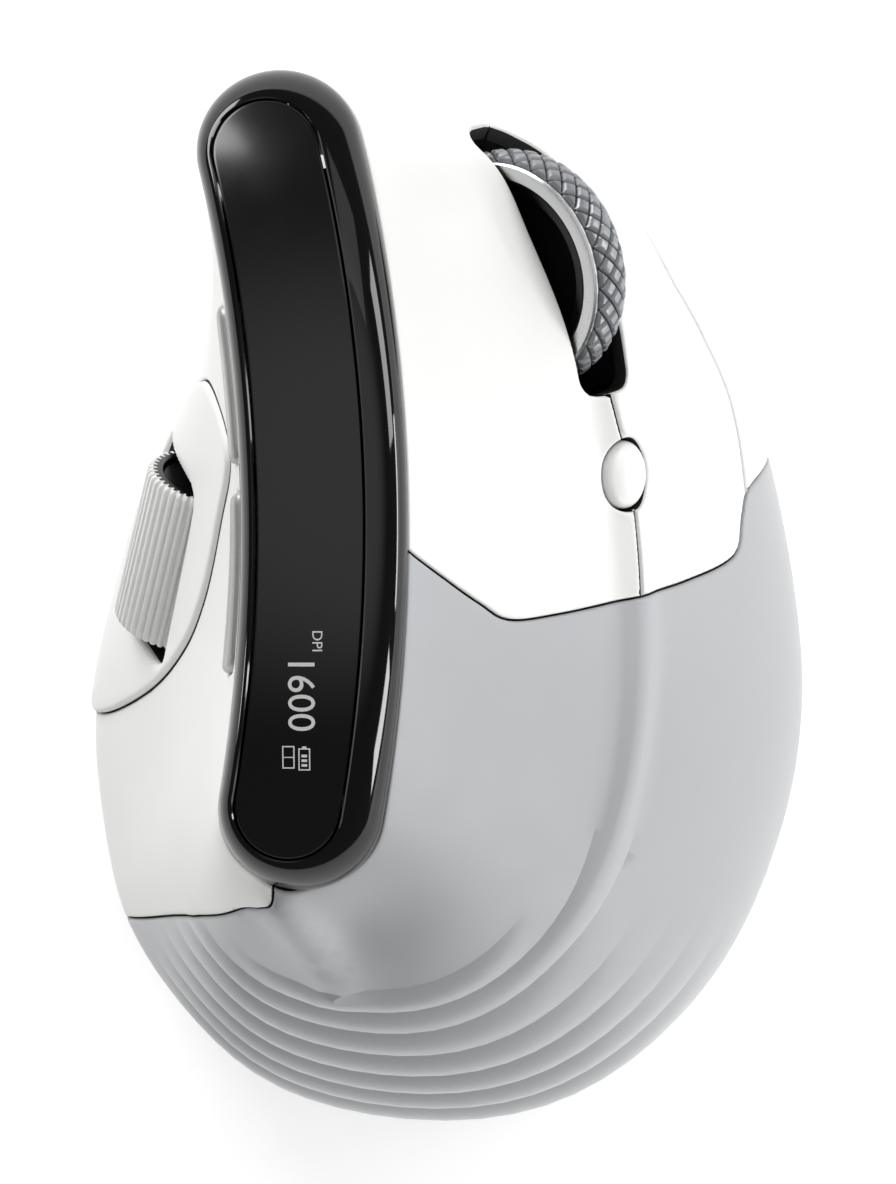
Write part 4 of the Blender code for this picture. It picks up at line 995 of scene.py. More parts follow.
def per_mm(feature: float) -> float:
    """The scale of a noise or wave, in metres' space, whose features are this many millimetres."""
    return 1000.0 / feature


@dataclass(frozen=True)
class Finish:
    """A material: its name, base colour and constants, with fine moulded or painted detail."""

    name: str
    colour: str
    roughness: float
    metallic: float = 0.0
    ior: float = 1.5
    coat: float = 0.0
    coat_roughness: float = 0.03
    sheen: float = 0.0
    transmission: float = 0.0
    # Real size of the surface's grain, its depth in millimetres, and how much the gloss and tone wander.
    grain: float = 0.4
    depth: float = 0.004
    gloss_change: float = 0.04
    tone_change: float = 0.012
    patch: float = 14.0

    def make(self) -> bpy.types.Material:
        """The material, made once.

        Returns:
            The material.
        """
        found = bpy.data.materials.get(self.name)
        if found:
            return found
        made = bpy.data.materials.new(self.name)
        made.use_nodes = True
        tree = made.node_tree
        shader = tree.nodes["Principled BSDF"]
        shader.inputs["Metallic"].default_value = self.metallic
        if not self.metallic:
            shader.inputs["IOR"].default_value = self.ior
        shader.inputs["Coat Weight"].default_value = self.coat
        shader.inputs["Coat Roughness"].default_value = self.coat_roughness
        shader.inputs["Sheen Weight"].default_value = self.sheen
        shader.inputs["Transmission Weight"].default_value = self.transmission
        place = put(tree, "TexCoord").outputs["Object"]
        tree.links.new(self.tone(tree, place), shader.inputs["Base Color"])
        tree.links.new(self.gloss(tree, place), shader.inputs["Roughness"])
        tree.links.new(self.bump(tree, place), shader.inputs["Normal"])
        return made

    def tone(self, tree: bpy.types.NodeTree, place: bpy.types.NodeSocket) -> bpy.types.NodeSocket:
        """The base colour, with slow and slight changes over the surface."""
        cloud = put(tree, "TexNoise", {"Vector": place, "Scale": per_mm(self.patch), "Detail": 3.0})
        share = put(
            tree,
            "MapRange",
            {0: cloud.outputs["Fac"], 1: 0.3, 2: 0.7, 3: 1 - self.tone_change, 4: 1 + self.tone_change},
        )
        mixed = put(tree, "VectorMath", {0: linear(self.colour)[:3]}, operation="SCALE")
        tree.links.new(share.outputs[0], mixed.inputs["Scale"])
        return mixed.outputs[0]

    def gloss(self, tree: bpy.types.NodeTree, place: bpy.types.NodeSocket) -> bpy.types.NodeSocket:
        """The roughness, a little uneven as a handled surface is."""
        cloud = put(tree, "TexNoise", {"Vector": place, "Scale": per_mm(self.patch * 0.4), "Detail": 4.0})
        low, high = self.roughness - self.gloss_change, self.roughness + self.gloss_change
        share = put(tree, "MapRange", {0: cloud.outputs["Fac"], 1: 0.3, 2: 0.7, 3: max(0.01, low), 4: high})
        return share.outputs[0]

    def bump(self, tree: bpy.types.NodeTree, place: bpy.types.NodeSocket) -> bpy.types.NodeSocket:
        """The grain's normal."""
        grit = put(tree, "TexNoise", {"Vector": place, "Scale": per_mm(self.grain), "Detail": 2.0})
        relief = {"Height": grit.outputs["Fac"], "Distance": self.depth * MM, "Strength": 1.0}
        return put(tree, "Bump", relief).outputs[0]

    def dress(self, piece: bpy.types.Object, second: Optional["Finish"] = None) -> None:
        """Puts the material in every slot of a piece, or in its first.

        Args:
            piece: The piece.
            second: The finish of those of its faces that are marked 1, if any are.
        """
        if not piece.material_slots:
            piece.data.materials.append(self.make())
        for slot in piece.material_slots:
            slot.material = self.make()
        if second:
            piece.data.materials.append(second.make())


@dataclass(frozen=True)
class TurnedMetal(Finish):
    """Metal turned on a lathe: fine rings about an axle, which stretch its highlights."""

    axis: tuple = (0.0, 0.0, 1.0)
    centre: tuple = (0.0, 0.0, 0.0)
    pitch: float = 0.16

    def bump(self, tree: bpy.types.NodeTree, place: bpy.types.NodeSocket) -> bpy.types.NodeSocket:
        """Turning rings a pitch apart, drawn coarser than real ones so that they show."""
        z, middle = Vector(self.axis).normalized(), Vector(self.centre)
        from_axle = put(tree, "VectorMath", {0: place, 1: tuple(middle)}, operation="SUBTRACT").outputs[0]
        rings = put(tree, "VectorMath", {0: from_axle, 1: tuple(z)}, operation="CROSS_PRODUCT").outputs[0]
        radius = put(tree, "VectorMath", {0: rings}, operation="LENGTH").outputs["Value"]
        phase = put(tree, "Math", {0: radius, 1: 2 * math.pi * per_mm(self.pitch)}, operation="MULTIPLY")
        wave = put(tree, "Math", {0: phase.outputs[0]}, operation="SINE")
        raised = put(tree, "Bump", {"Height": wave.outputs[0], "Distance": self.depth * MM, "Strength": 1.0})
        return raised.outputs[0]


@dataclass(frozen=True)
class FlakePaint(Finish):
    """Silver paint: fine metal flakes under a thin clear layer, seen as a slight sparkle."""

    flake: float = 0.12

    def tone(self, tree: bpy.types.NodeTree, place: bpy.types.NodeSocket) -> bpy.types.NodeSocket:
        """The base colour, flake by flake."""
        cells = put(tree, "TexVoronoi", {"Vector": place, "Scale": per_mm(self.flake)})
        grey = put(tree, "SeparateColor", {0: cells.outputs["Color"]})
        low, high = 1 - 5 * self.tone_change, 1 + 5 * self.tone_change
        share = put(tree, "MapRange", {0: grey.outputs[0], 3: low, 4: high})
        mixed = put(tree, "VectorMath", {0: linear(self.colour)[:3]}, operation="SCALE")
        tree.links.new(share.outputs[0], mixed.inputs["Scale"])
        return mixed.outputs[0]


@dataclass(frozen=True)
class Laminate(Finish):
    """Glass-fibre circuit board: solder mask over copper tracks, seen as lighter lines."""

    track: str = "3E8A5E"
    spacing: float = 1.3

    def tone(self, tree: bpy.types.NodeTree, place: bpy.types.NodeSocket) -> bpy.types.NodeSocket:
        """Solder mask with copper tracks showing through."""
        bricks = put(
            tree,
            "TexBrick",
            {
                "Vector": place,
                "Scale": per_mm(self.spacing) * 0.25,
                "Color1": linear(self.colour),
                "Color2": linear(self.colour),
                "Mortar": linear(self.track),
                "Mortar Size": 0.012,
            },
        )
        return bricks.outputs["Color"]


@dataclass(frozen=True)
class StripedFilm(Finish):
    """Polyimide ribbon: amber film with copper lines along it."""

    line: str = "7A4516"
    spacing: float = 0.8

    def tone(self, tree: bpy.types.NodeTree, place: bpy.types.NodeSocket) -> bpy.types.NodeSocket:
        """Amber film with lines a spacing apart."""
        wave = put(tree, "TexWave", {"Vector": place, "Scale": per_mm(self.spacing) / (2 * math.pi)})
        wave.bands_direction = "Y"
        ends = {0: wave.outputs["Fac"], 6: linear(self.colour), 7: linear(self.line)}
        return put(tree, "Mix", ends, data_type="RGBA").outputs[2]


# ABS for the keys: a fine spark-eroded mould leaves a soft satin that spreads the highlights.
WHITE_KEY = Finish("satin_white_abs_key", "F3F3F1", 0.36, grain=0.35, depth=0.003, coat=0.05)
# ABS for the body: the same resin from a slightly coarser mould.
WHITE_BODY = Finish("satin_white_abs_body", "F8F8F6", 0.42, grain=0.4, depth=0.004)
# Soft-touch lacquer over ABS: almost no highlight, a faint bloom at grazing angles.
GREY_SOFT = Finish("soft_touch_grey_lacquer", "B2B4B7", 0.48, sheen=0.7, grain=0.3, depth=0.003)
# Piano lacquer: black ABS under clear coat, mirror smooth with a slow orange-peel wave.
BLACK_GLOSS = Finish("piano_black_lacquer", "080808", 0.06, grain=6.0, depth=0.004, gloss_change=0.01)
# Smoke-tinted PMMA over the display: dark and glossy.
WINDOW_SMOKE = Finish(
    "smoke_tinted_acrylic", "0E0E0E", 0.14, ior=1.49, grain=8.0, depth=0.003, gloss_change=0.02
)
# Readout ink that stands for the lit segments under the window.
READOUT = Finish("readout_white", "F4F4F2", 0.5, depth=0.0005)
# Silver paint on the side buttons: fine flakes that sparkle a little.
SILVER_PAINT = FlakePaint("silver_flake_paint", "ABABA9", 0.34, metallic=0.35, depth=0.002)
# Shot-blasted steel tread; its grooves take a darker finish, which is painted shade.
TREAD_STEEL = Finish(
    "knurled_gunmetal", "96989B", 0.42, metallic=0.55, grain=0.25, depth=0.006, gloss_change=0.08
)
# The same metal in its cut grooves, darkened as painted shade.
GROOVE_SHADE = Finish("painted_groove_shade", "2C2D30", 0.6, metallic=0.4, grain=0.25, depth=0.006)
# Ground steel for the axles, screws and socket: bright with fine scratches.
STEEL = Finish("ground_steel", "A6A8AA", 0.30, metallic=1.0, grain=0.2, depth=0.002)
# Black paint on the inside of the walls, which stops light; down their cut edges the same black is painted
# shade, so that the seams read dark.
INNER_BLACK_SEAM_SHADE = Finish("inside_black_and_seam_shade", "0B0B0C", 0.6, grain=0.5, depth=0.004)
# Black ABS for inner parts: dull and even.
BLACK_MATT = Finish("matt_black_abs", "161617", 0.55, grain=0.5, depth=0.005)
# Glossy black ABS for the wheel's hub.
HUB_BLACK = Finish("polished_black_abs", "0E0E0F", 0.22, grain=2.0, depth=0.002)
# Thermoplastic rubber: matt, slightly warm white.
RUBBER = Finish("moulded_tpe_pale", "EFEFED", 0.5, grain=0.3, depth=0.005)
# Glass-fibre laminate with green solder mask.
BOARD = Laminate("solder_masked_laminate", "1F5A3A", 0.42)
# A pouch cell in its shrink wrap: silver-grey, slightly wrinkled.
CELL = Finish("shrink_wrapped_cell", "B9BDC2", 0.36, metallic=0.3, grain=3.0, depth=0.05)
# PTFE glide sheet: milky and slippery, with a soft gloss.
SKATE = Finish("ptfe_glide_sheet", "DADAD8", 0.33, ior=1.38, grain=1.0, depth=0.003)
# Clear moulded lens: water-clear with a little haze.
LENS = Finish("clear_polycarbonate", "E6ECEF", 0.06, ior=1.58, transmission=0.85, depth=0.0005)
# Flexible printed circuit film.
RIBBON = StripedFilm("polyimide_ribbon", "B8752E", 0.4)


class Slot(Enum):
    """The record's material slots."""

    WHITE_SATIN = "white_satin"
    WHITE_KEY = "white_key"
    GREY_SOFT = "grey_soft"
    GREY_BUTTON = "grey_button"
    BLACK_GLOSS = "black_gloss"
    BLACK_MATT = "black_matt"
    WINDOW = "window"
    RUBBER = "rubber"
    ALUMINIUM = "aluminium"
    STEEL = "steel"


def settle(
    piece: bpy.types.Object,
    body: str,
    slot: Slot,
    finish: Finish,
    *nodes: str,
    second: Optional[Finish] = None,
) -> None:
    """Dresses a piece, lets it ride on a body, and hides the nodes that it stands for.

    Args:
        piece: The piece.
        body: The body that it moves with.
        slot: The record's slot for its finish; not used.
        finish: Its material.
        nodes: The nodes that it replaces.
        second: The finish of its faces that are marked 1.
    """
    finish.dress(piece, second)
    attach(piece, body)
    if nodes:
        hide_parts(*nodes)


# ================================================================ sub-assemblies


@dataclass
class BodyShell:
    """The fixed walls: rear cover, thumb panel, side skirt and the thumb plate let into the panel."""

    seams: SeamPlan
    plate_proud: float = 0.6
    plate_wall: float = 1.8
    plate_rim: float = 0.6

    def build(self) -> None:
        """Makes and dresses the fixed walls."""
        seams = self.seams
        cover = MouldedWall("rear_cover_skin", seams.cover, relief=True).build()
        settle(cover, "shell", Slot.GREY_SOFT, GREY_SOFT, "rear_cover", second=INNER_BLACK_SEAM_SHADE)
        holes = (seams.forward_loop, seams.back_loop, seams.plate_loop)
        panel = MouldedWall("thumb_panel_skin", seams.thumb, holes, hole_gap=-0.08, relief=True).build()
        settle(panel, "shell", Slot.WHITE_SATIN, WHITE_BODY, "thumb_panel", second=INNER_BLACK_SEAM_SHADE)
        socket = (seams.socket_loop(),)
        skirt = MouldedWall("side_skirt_skin", seams.skirt, socket, gap=0.05, hole_gap=-0.05).build()
        settle(skirt, "shell", Slot.WHITE_SATIN, WHITE_BODY, "side_skirt", second=INNER_BLACK_SEAM_SHADE)
        plate = MouldedWall(
            "thumb_plate_skin",
            seams.plate_loop,
            (seams.roller_loop,),
            gap=0.05,
            hole_gap=0.0,
            proud=self.plate_proud,
            thickness=self.plate_wall,
            rim=self.plate_rim,
        ).build()
        settle(plate, "shell", Slot.WHITE_SATIN, WHITE_BODY, "thumb_plate", second=INNER_BLACK_SEAM_SHADE)


@dataclass
class PressKeys:
    """The two main keys, the DPI button in their split, and the two long side buttons."""

    seams: SeamPlan
    dpi_proud: float = 0.45
    dpi_depth: float = 3.25
    dpi_dome: float = 0.5
    dpi_gap: float = 0.22
    side_proud: float = 0.7
    side_depth: float = 4.3
    side_gap: float = 0.05
    cap_rim: float = 0.8

    def build(self) -> None:
        """Makes and dresses everything that a finger presses."""
        seams = self.seams
        left = MouldedWall("left_key_skin", seams.left_key, relief=True).build()
        settle(left, "left_key", Slot.WHITE_KEY, WHITE_KEY, "left_key", second=INNER_BLACK_SEAM_SHADE)
        right = MouldedWall("right_key_skin", seams.right_key, relief=True, gap=0.12).build()
        settle(right, "right_key", Slot.WHITE_KEY, WHITE_KEY, "right_key", second=INNER_BLACK_SEAM_SHADE)
        oval = {"proud": self.dpi_proud, "thickness": self.dpi_depth, "gap": self.dpi_gap}
        dpi = self._cap("dpi_button_cap", seams.dpi_loop, oval, self.dpi_dome)
        settle(dpi, "dpi_button", Slot.WHITE_KEY, WHITE_KEY, "dpi_button")
        long = {"proud": self.side_proud, "thickness": self.side_depth, "gap": self.side_gap}
        for node, loop in (("forward_button", seams.forward_loop), ("back_button", seams.back_loop)):
            settle(self._cap(node + "_cap", loop, long), node, Slot.GREY_BUTTON, SILVER_PAINT, node)

    def _cap(self, name: str, loop: Array, sizes: dict, dome: float = 0.0) -> bpy.types.Object:
        """One button cap with a well-rounded rim."""
        return MouldedWall(name, loop, rim=self.cap_rim, step=0.9, dome=dome, **sizes).build()


@dataclass
class DisplayBand:
    """The gloss frame along the ridge, its smoked window and the readout under it."""

    points_round: int = 288
    profile_steps: int = 18
    wall: float = 1.8
    chamfer: float = 0.16
    window_gap: float = 0.25
    window_drop: float = 0.15
    window_wall: float = 1.2
    window_bevel: float = 0.14
    window_points: int = 220
    icon_line: float = 0.13

    def over(self, plan: Array, below: Array) -> Array:
        """Points under the band's top skin."""
        return np.column_stack([plan, BAND.height(plan[:, 0], plan[:, 1]) - below])

    def build(self) -> None:
        """Makes and dresses the band."""
        settle(self._bezel(), "shell", Slot.BLACK_GLOSS, BLACK_GLOSS, "display_bezel")
        settle(self._window(), "shell", Slot.WINDOW, WINDOW_SMOKE, "display_window")
        for piece in self._readout():
            settle(piece, "shell", Slot.WINDOW, READOUT)

    def _bezel(self) -> bpy.types.Object:
        """The frame: a quarter ellipse swept round the band, chamfered at the window."""
        u = np.arange(self.points_round) / self.points_round
        rows = []
        inner, shift = BAND.window_half, BAND.window_shift
        for k in range(self.profile_steps + 1):
            angle = k / self.profile_steps * math.pi / 2
            start = inner + self.chamfer
            half = start + (BAND.half - start) * math.sin(angle)
            plan = BAND.loop(u, half, shift * (1 - math.sin(angle)))
            rows.append(self.over(plan, BAND.edge_drop * (1 - math.cos(angle))))
        low = BAND.edge_drop + 0.05
        rows.append(self.over(BAND.loop(u, BAND.half - 0.1), low))
        rows.append(self.over(BAND.loop(u, BAND.half - self.wall), low))
        rows.append(self.over(BAND.loop(u, inner, shift), self.wall))
        rows.append(self.over(BAND.loop(u, inner, shift), self.chamfer))
        return new_object("display_bezel_frame", np.vstack(rows), grid_faces(len(rows), len(u), True), 30.0)

    def _window(self) -> bpy.types.Object:
        """The window: a thin plate bent to the band, with a fine bevel round its edge."""
        half = BAND.window_half - self.window_gap
        u = np.arange(self.window_points) / self.window_points
        loop = BAND.loop(u[::-1], half, BAND.window_shift)
        rows = [BAND.loop(u, half - far, BAND.window_shift) for far in (0.06, self.window_bevel, 0.3)]
        points, faces = filled([loop], 1.8, rows)
        distance = distance_to(points, [loop], 1.0)
        sunk = self.window_drop + rounded_drop(distance, self.window_bevel)
        bottom = np.full(len(points), self.window_drop + self.window_wall)
        return spans_wall("display_window_pane", self.over(points, sunk), self.over(points, bottom), faces)

    def _lettered(self, name: str, text: str, x: tuple, y: tuple) -> bpy.types.Object:
        """Characters that read down the band, tops to the finger side, filling a plan box."""
        curve = bpy.data.curves.new(name, "FONT")
        curve.body = text
        curve.resolution_u = 5
        source = bpy.data.objects.new(name + "_source", curve)
        bpy.context.scene.collection.objects.link(source)
        bpy.context.view_layer.update()
        graph = bpy.context.evaluated_depsgraph_get()
        mesh = bpy.data.meshes.new_from_object(source.evaluated_get(graph))
        flat = np.array([tuple(v.co)[:2] for v in mesh.vertices])
        faces = [tuple(p.vertices) for p in mesh.polygons]
        bpy.data.objects.remove(source, do_unlink=True)
        low, high = flat.min(0), flat.max(0)
        share = (flat - low) / (high - low)
        plan = np.column_stack([x[0] + (x[1] - x[0]) * share[:, 1], y[0] + (y[1] - y[0]) * share[:, 0]])
        return self._inlay(name, plan, faces)

    def _inlay(self, name: str, plan: Array, faces: Sequence[Sequence[int]]) -> bpy.types.Object:
        """Thin raised strokes on the window from flat faces."""
        count = len(plan)
        top, bottom = (self.over(plan, np.full(count, self.window_drop + b)) for b in (-0.035, 0.03))
        area = sum(signed_area(plan[list(face)]) for face in faces)
        faces = [tuple(face) if area > 0 else tuple(reversed(face)) for face in faces]
        used = {pair: True for face in faces for pair in zip(face, face[1:] + face[:1])}
        sides = [(b, a, a + count, b + count) for a, b in used if (b, a) not in used]
        low = [tuple(i + count for i in reversed(face)) for face in faces]
        return new_object(name, np.vstack([top, bottom]), [*faces, *low, *sides], 30.0)

    def _stroked(self, name: str, bars: Sequence[tuple]) -> bpy.types.Object:
        """An icon from straight bars, each given as x0, y0, x1, y1 in plan."""
        plan, faces = [], []
        for x0, y0, x1, y1 in bars:
            start = len(plan)
            plan += [(x0, y0), (x1, y0), (x1, y1), (x0, y1)]
            faces.append((start, start + 1, start + 2, start + 3))
        return self._inlay(name, np.array(plan, float), faces)

    def _framed(self, x0: float, y0: float, x1: float, y1: float, line: float) -> list[tuple]:
        """The four bars of a rectangle's outline, laid so that none overlap."""
        sides = [(x0, y0, x0 + line, y1), (x1 - line, y0, x1, y1)]
        ends = [(x0 + line, y0, x1 - line, y0 + line), (x0 + line, y1 - line, x1 - line, y1)]
        return sides + ends

    def _readout(self) -> list[bpy.types.Object]:
        """The readout: a label, a number and two plain icons."""
        line = self.icon_line
        number = self._lettered("readout_number", "1600", (-16.80, -13.95), (-5.9, -13.1))
        label = self._lettered("readout_label", "DPI", (-14.20, -13.15), (-2.6, -4.7))
        split = self._framed(-17.45, -17.1, -16.15, -14.7, line)
        split += [(-17.32, -15.96, -16.28, -15.96 + 0.10)]
        cell = self._framed(-15.75, -17.3, -14.5, -14.95, line)
        cell += [(-15.35, -14.95, -14.9, -14.75)]
        cell += [(-15.42, y, -14.83, y + 0.28) for y in (-16.9, -16.4, -15.9)]
        icons = [self._stroked("readout_profile_icon", split), self._stroked("readout_cell_icon", cell)]
        return [number, label, *icons]


@dataclass
class ScrollWheel:
    """The knurled tread, its two turned rings and the dark hub, on the axle up the finger slope."""

    seams: SeamPlan
    radius: float = 13.2
    proud: float = 6.3
    half_width: float = 2.3
    diamonds: int = 34
    diamond_rows: int = 2
    knurl_depth: float = 0.55
    # A facet whose corners stand lower than this share of the knurl is groove, and takes the painted shade.
    shaded_groove_share: float = 0.42
    tyre_inner: float = 10.9
    tyre_shoulder: float = 12.35
    # Sections in (radius, distance along the axle). The ring that faces the thumb is the narrower.
    slim_ring: tuple = (
        (10.35, 2.45),
        (12.3, 2.45),
        (12.3, 2.66),
        (12.1, 2.86),
        (11.9, 2.9),
        (10.75, 2.9),
        (10.35, 2.62),
    )
    wide_ring: tuple = (
        (9.2, 2.45),
        (12.3, 2.45),
        (12.3, 2.72),
        (12.18, 2.84),
        (12.0, 2.9),
        (9.6, 2.9),
        (9.35, 2.84),
        (9.2, 2.7),
    )
    hub_half: tuple = (
        (1.75, -2.1),
        (3.1, -2.1),
        (3.5, -1.8),
        (3.9, -0.8),
        (8.6, -0.8),
        (9.1, -2.0),
        (10.6, -2.1),
    )

    def __post_init__(self) -> None:
        """Places the wheel under its slot."""
        centre = self.seams.wheel_top - self.seams.wheel_out * (self.radius - self.proud)
        self.frame = frame_at(centre, self.seams.wheel_axle, self.seams.wheel_forward)

    def build(self) -> None:
        """Makes and dresses the wheel."""
        metal = TurnedMetal(
            "turned_satin_aluminium",
            "D3D4D5",
            0.27,
            metallic=1.0,
            depth=0.002,
            axis=self.seams.wheel_axle,
            centre=tuple((np.array(self.frame.translation) + CENTRING) * MM),
        )
        settle(self._tread(), "wheel", Slot.STEEL, TREAD_STEEL, "wheel_tyre", second=GROOVE_SHADE)
        left = self._turned("wheel_ring_left_turned", self.slim_ring[::-1])
        settle(left, "wheel", Slot.ALUMINIUM, metal, "wheel_ring_left")
        right = self._turned("wheel_ring_right_turned", [(r, -z) for r, z in self.wide_ring])
        settle(right, "wheel", Slot.ALUMINIUM, metal, "wheel_ring_right")
        hub = [*self.hub_half, *[(r, -z) for r, z in self.hub_half[::-1]]]
        settle(self._turned("wheel_hub_web", hub), "wheel", Slot.BLACK_MATT, HUB_BLACK, "wheel_hub")

    def _turned(self, name: str, profile: Sequence[tuple], steps: int = 144) -> bpy.types.Object:
        """A ring turned about the axle from a closed (radius, z) profile that runs up its outer side."""
        return swept(name, self.frame, [around_axle(r, z, steps) for r, z in profile], 32.0)

    def _tread(self) -> bpy.types.Object:
        """The tread: crossed grooves leave rows of small diamonds round a crowned tyre."""
        per_pitch = 12
        around, across = self.diamonds * per_pitch, self.diamond_rows * per_pitch
        turns = np.arange(around) / per_pitch
        rows, bumps = [], []
        for z in np.linspace(-1, 1, across + 1):
            climb = z * self.diamond_rows / 2
            ridge = [1 - np.abs(2 * (phase % 1.0) - 1) for phase in (turns + climb, turns - climb)]
            bump = np.minimum(1, 2.6 * np.minimum(ridge[0], ridge[1])) ** 0.7
            bumps.append(bump)
            crown = self.radius - self.knurl_depth - 0.5 * z * z
            radius = crown + self.knurl_depth * bump * (1 - ramp(abs(z), 0.9, 1.0))
            rows.append(around_axle(radius, z * (self.half_width - 0.12), around))
        side, inner, shoulder = self.half_width, self.tyre_inner, self.tyre_shoulder
        for radius, z in ((shoulder, side), (inner, side), (inner, -side), (shoulder, -side)):
            rows.append(around_axle(radius, z, around))
        tread = swept("wheel_tread_knurled", self.frame, rows, 28.0)
        corner = np.array(bumps)
        corner = corner + np.roll(corner, -1, 1)
        raised = (corner[:-1] + corner[1:]).ravel() / 4
        # Low facets in the grooves take the dark second finish: painted shade.
        for polygon, share in zip(tread.data.polygons, raised):
            polygon.material_index = int(share < self.shaded_groove_share)
        return tread


@dataclass
class ThumbRoller:
    """The ribbed roller under the thumb, along its own axle."""

    seams: SeamPlan
    radius: float = 6.8
    length: float = 18.4
    proud: float = 3.7
    ribs: int = 46
    rib_depth: float = 0.45
    # Radius and depth of one end, from the sleeve's rim in to the bore.
    end: tuple = ((5.2, 0.0), (4.9, 0.5), (2.6, 0.5), (1.75, 0.3))

    def build(self) -> None:
        """Makes and dresses the roller."""
        centre = self.seams.roller_top + self.seams.roller_out * (self.proud - self.radius)
        frame = frame_at(centre, self.seams.roller_axis, self.seams.roller_out)
        per_rib = 10
        count = self.ribs * per_rib
        phase = np.abs(2 * ((np.arange(count) / per_rib) % 1.0) - 1)
        rib = self.rib_depth * ramp(phase, 0.35, 0.85)
        half = self.length / 2
        sleeve = [(-half, 0.55), (-half + 0.25, 0.15), (-half + 0.6, 0.0)]
        sleeve += [(-z, drop) for z, drop in sleeve[::-1]]
        rows = [around_axle(self.radius - drop - rib, z, count) for z, drop in sleeve]
        rows += [around_axle(radius, half - deep, count) for radius, deep in self.end]
        rows += [around_axle(radius, deep - half, count) for radius, deep in self.end[::-1]]
        roller = swept("thumb_roller_ribbed", frame, rows, 35.0)
        # The pale sleeve sits on a dark core, which shows at the two ends.
        for polygon in roller.data.polygons[(len(sleeve) - 1) * count :]:
            polygon.material_index = 1
        settle(roller, "thumb_roller", Slot.RUBBER, RUBBER, "thumb_roller", second=HUB_BLACK)


@dataclass
class InnerParts:
    """The parts that keep their CAD shape: switches, boards, cell, base, glides and screws."""

    finishes: dict = field(
        default_factory=lambda: {
            "base_plate": BLACK_MATT,
            "base_screw": STEEL,
            "battery_lead": RUBBER,
            "battery_tray": BLACK_MATT,
            "battery": CELL,
            "display_module": BLACK_MATT,
            "display_ribbon": RIBBON,
            "front_foot": SKATE,
            "rear_foot": SKATE,
            "sensor_foot": SKATE,
            "sensor_lens": LENS,
            "main_board": BOARD,
            "key_board": BOARD,
            "side_board": BOARD,
            "usb_socket": STEEL,
            "wheel_axle": STEEL,
            "thumb_axle": STEEL,
            "power_switch": RUBBER,
            "pairing_button": RUBBER,
        }
    )

    def build(self, nodes: dict, replaced: Sequence[str]) -> int:
        """Dresses every carried-over node.

        Args:
            nodes: The frame's nodes by name.
            replaced: Nodes that a piece stands for.

        Returns:
            How many nodes were dressed.
        """
        count = 0
        for name in sorted(nodes):
            if name in replaced:
                continue
            keys = [key for key in self.finishes if name.startswith(key)]
            finish = self.finishes[max(keys, key=len)] if keys else BLACK_MATT
            finish.dress(nodes[name])
            count += 1
        return count


# ================================================================ studio


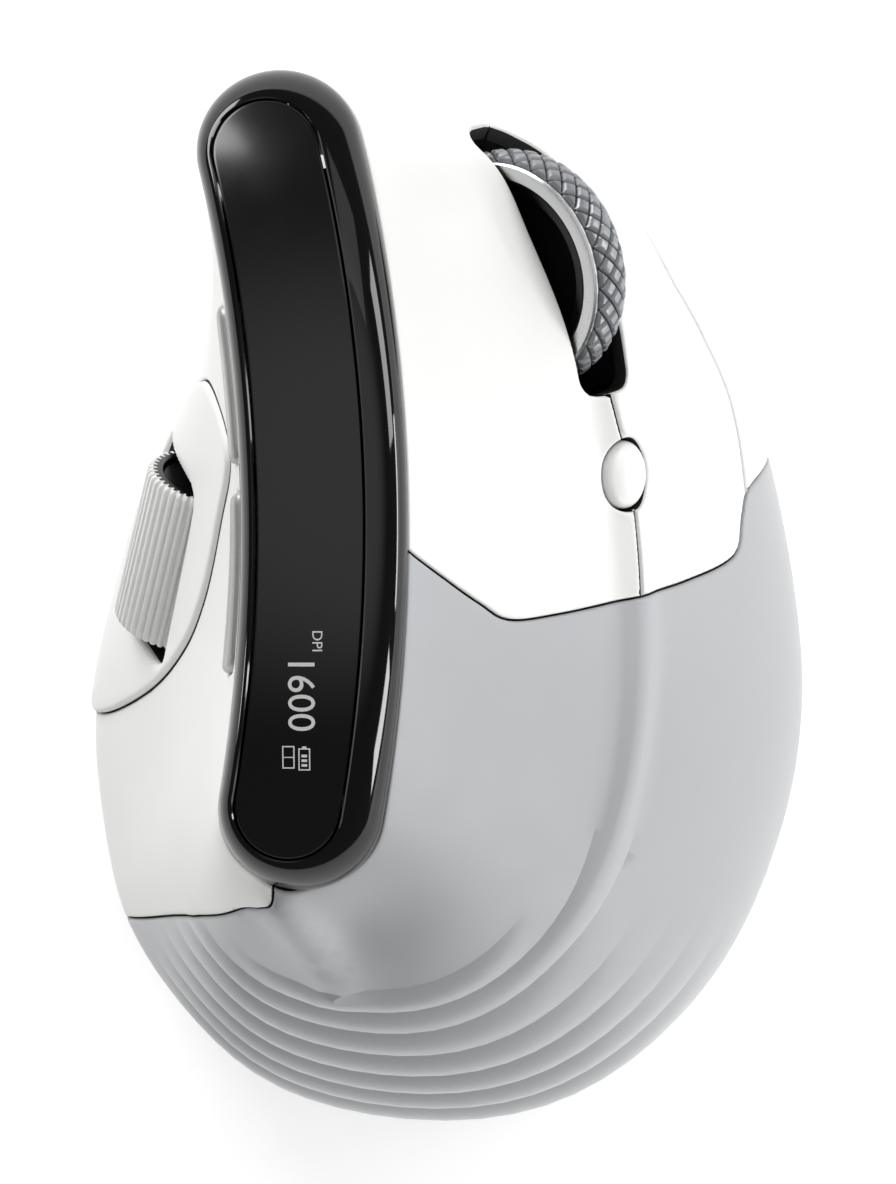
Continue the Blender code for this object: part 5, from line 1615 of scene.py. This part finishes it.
@dataclass
class Studio:
    """A pale floor, soft lights and a long lens straight above."""

    floor_colour: str = "F7F7F6"
    camera_height: float = 1.0
    camera_x: float = 0.187
    camera_y: float = 1.28
    sensor: float = 36.0
    # A long lens: from 1 m up it frames about 133 mm of desk, with little perspective.
    focal: float = 271.0
    paper_glow: float = 0.46
    # The dome's strength from halfway down and at the zenith.
    dome_low: float = 0.11
    dome_high: float = 0.75

    def build(self) -> None:
        """Makes the floor, the lights and the camera."""
        self._floor()
        self._camera()
        self._surround()
        above = (0.0, 0.0, 0.0)
        band = (0.0, 0.0, 0.06)
        self._area("front_softbox", (0.95, 0.44, 0.40), band, (0.62, 0.30), 4.0)
        self._area("rear_softbox", (0.95, -0.78, 0.26), band, (0.46, 0.24), 4.6)
        self._area("side_panel", (0.95, -0.05, 0.10), above, (0.5, 0.08), 1.6)
        self._area("front_panel", (0.25, 0.85, 0.75), above, (0.5, 0.5), 0.6)
        self._area("thumb_light", (-0.52, 0.98, 0.38), above, (0.5, 0.5), 7.4)
        self._area("ring_light", (-0.93, -0.36, 0.18), (0.0, 0.03, 0.05), (0.16, 0.08), 0.6)

    def _floor(self) -> None:
        """A wide pale sheet under the feet."""
        mesh = bpy.data.meshes.new("studio_floor")
        side = 3.0
        corners = [(-side, -side, 0), (side, -side, 0), (side, side, 0), (-side, side, 0)]
        mesh.from_pydata(corners, [], [(0, 1, 2, 3)])
        floor = bpy.data.objects.new("studio_floor", mesh)
        bpy.context.scene.collection.objects.link(floor)
        paper = Finish("studio_paper", self.floor_colour, 0.8, grain=1.0, depth=0.002, tone_change=0.002)
        paper.dress(floor)
        # Back-lit paper, so that the sweep stays white and carries no hard shadow.
        shader = paper.make().node_tree.nodes["Principled BSDF"]
        shader.inputs["Emission Color"].default_value = (1.0, 1.0, 1.0, 1.0)
        shader.inputs["Emission Strength"].default_value = self.paper_glow

    def _camera(self) -> None:
        """The camera, straight above, the fingers' way up."""
        data = bpy.data.cameras.new("camera")
        data.sensor_fit = "VERTICAL"
        data.sensor_height = self.sensor
        data.lens = self.focal
        data.clip_start, data.clip_end = 0.05, 20.0
        camera = bpy.data.objects.new("camera", data)
        camera.location = (self.camera_x * MM, self.camera_y * MM, self.camera_height)
        bpy.context.scene.collection.objects.link(camera)
        bpy.context.scene.camera = camera

    def _surround(self) -> None:
        """A soft overhead dome: bright at the zenith, dim from halfway down."""
        world = bpy.data.worlds.new("studio_world")
        world.use_nodes = True
        back = world.node_tree.nodes["Background"]
        tree = world.node_tree
        way = put(tree, "TexCoord").outputs["Generated"]
        up = put(tree, "SeparateXYZ", {0: way}).outputs["Z"]
        reach = {0: up, 1: 0.60, 2: 0.96, 3: self.dome_low, 4: self.dome_high}
        glow = put(tree, "MapRange", reach, interpolation_type="SMOOTHSTEP")
        tree.links.new(glow.outputs[0], back.inputs["Strength"])
        back.inputs["Color"].default_value = (1.0, 1.0, 1.0, 1.0)
        bpy.context.scene.world = world
        bpy.context.scene.view_settings.view_transform = "Standard"

    def _area(self, name: str, spot: tuple, target: tuple, size: tuple, power: float) -> None:
        """A soft rectangular light that faces a target."""
        data = bpy.data.lights.new(name, "AREA")
        data.shape = "RECTANGLE"
        data.size, data.size_y = size
        data.energy = power
        light = bpy.data.objects.new(name, data)
        light.location = spot
        light.rotation_euler = (Vector(target) - Vector(spot)).to_track_quat("-Z", "Y").to_euler()
        bpy.context.scene.collection.objects.link(light)


def main() -> None:
    """Builds the mouse's looks over its frame."""
    logging.basicConfig(level=logging.INFO, format="%(message)s")
    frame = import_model()
    seams = SeamPlan()
    LOG.info("seams laid")
    replaced = ["left_key", "right_key", "side_skirt", "rear_cover", "thumb_panel", "thumb_plate"]
    replaced += ["forward_button", "back_button", "dpi_button", "display_bezel", "display_window"]
    replaced += ["wheel_tyre", "wheel_ring_left", "wheel_ring_right", "wheel_hub", "thumb_roller"]
    for part in (BodyShell(seams), PressKeys(seams), DisplayBand(), ScrollWheel(seams), ThumbRoller(seams)):
        part.build()
        LOG.info("built %s", type(part).__name__)
    LOG.info("dressed %d kept nodes", InnerParts().build(frame["nodes"], replaced))
    Studio().build()
    bpy.context.view_layer.update()


if __name__ == "__main__":
    main()
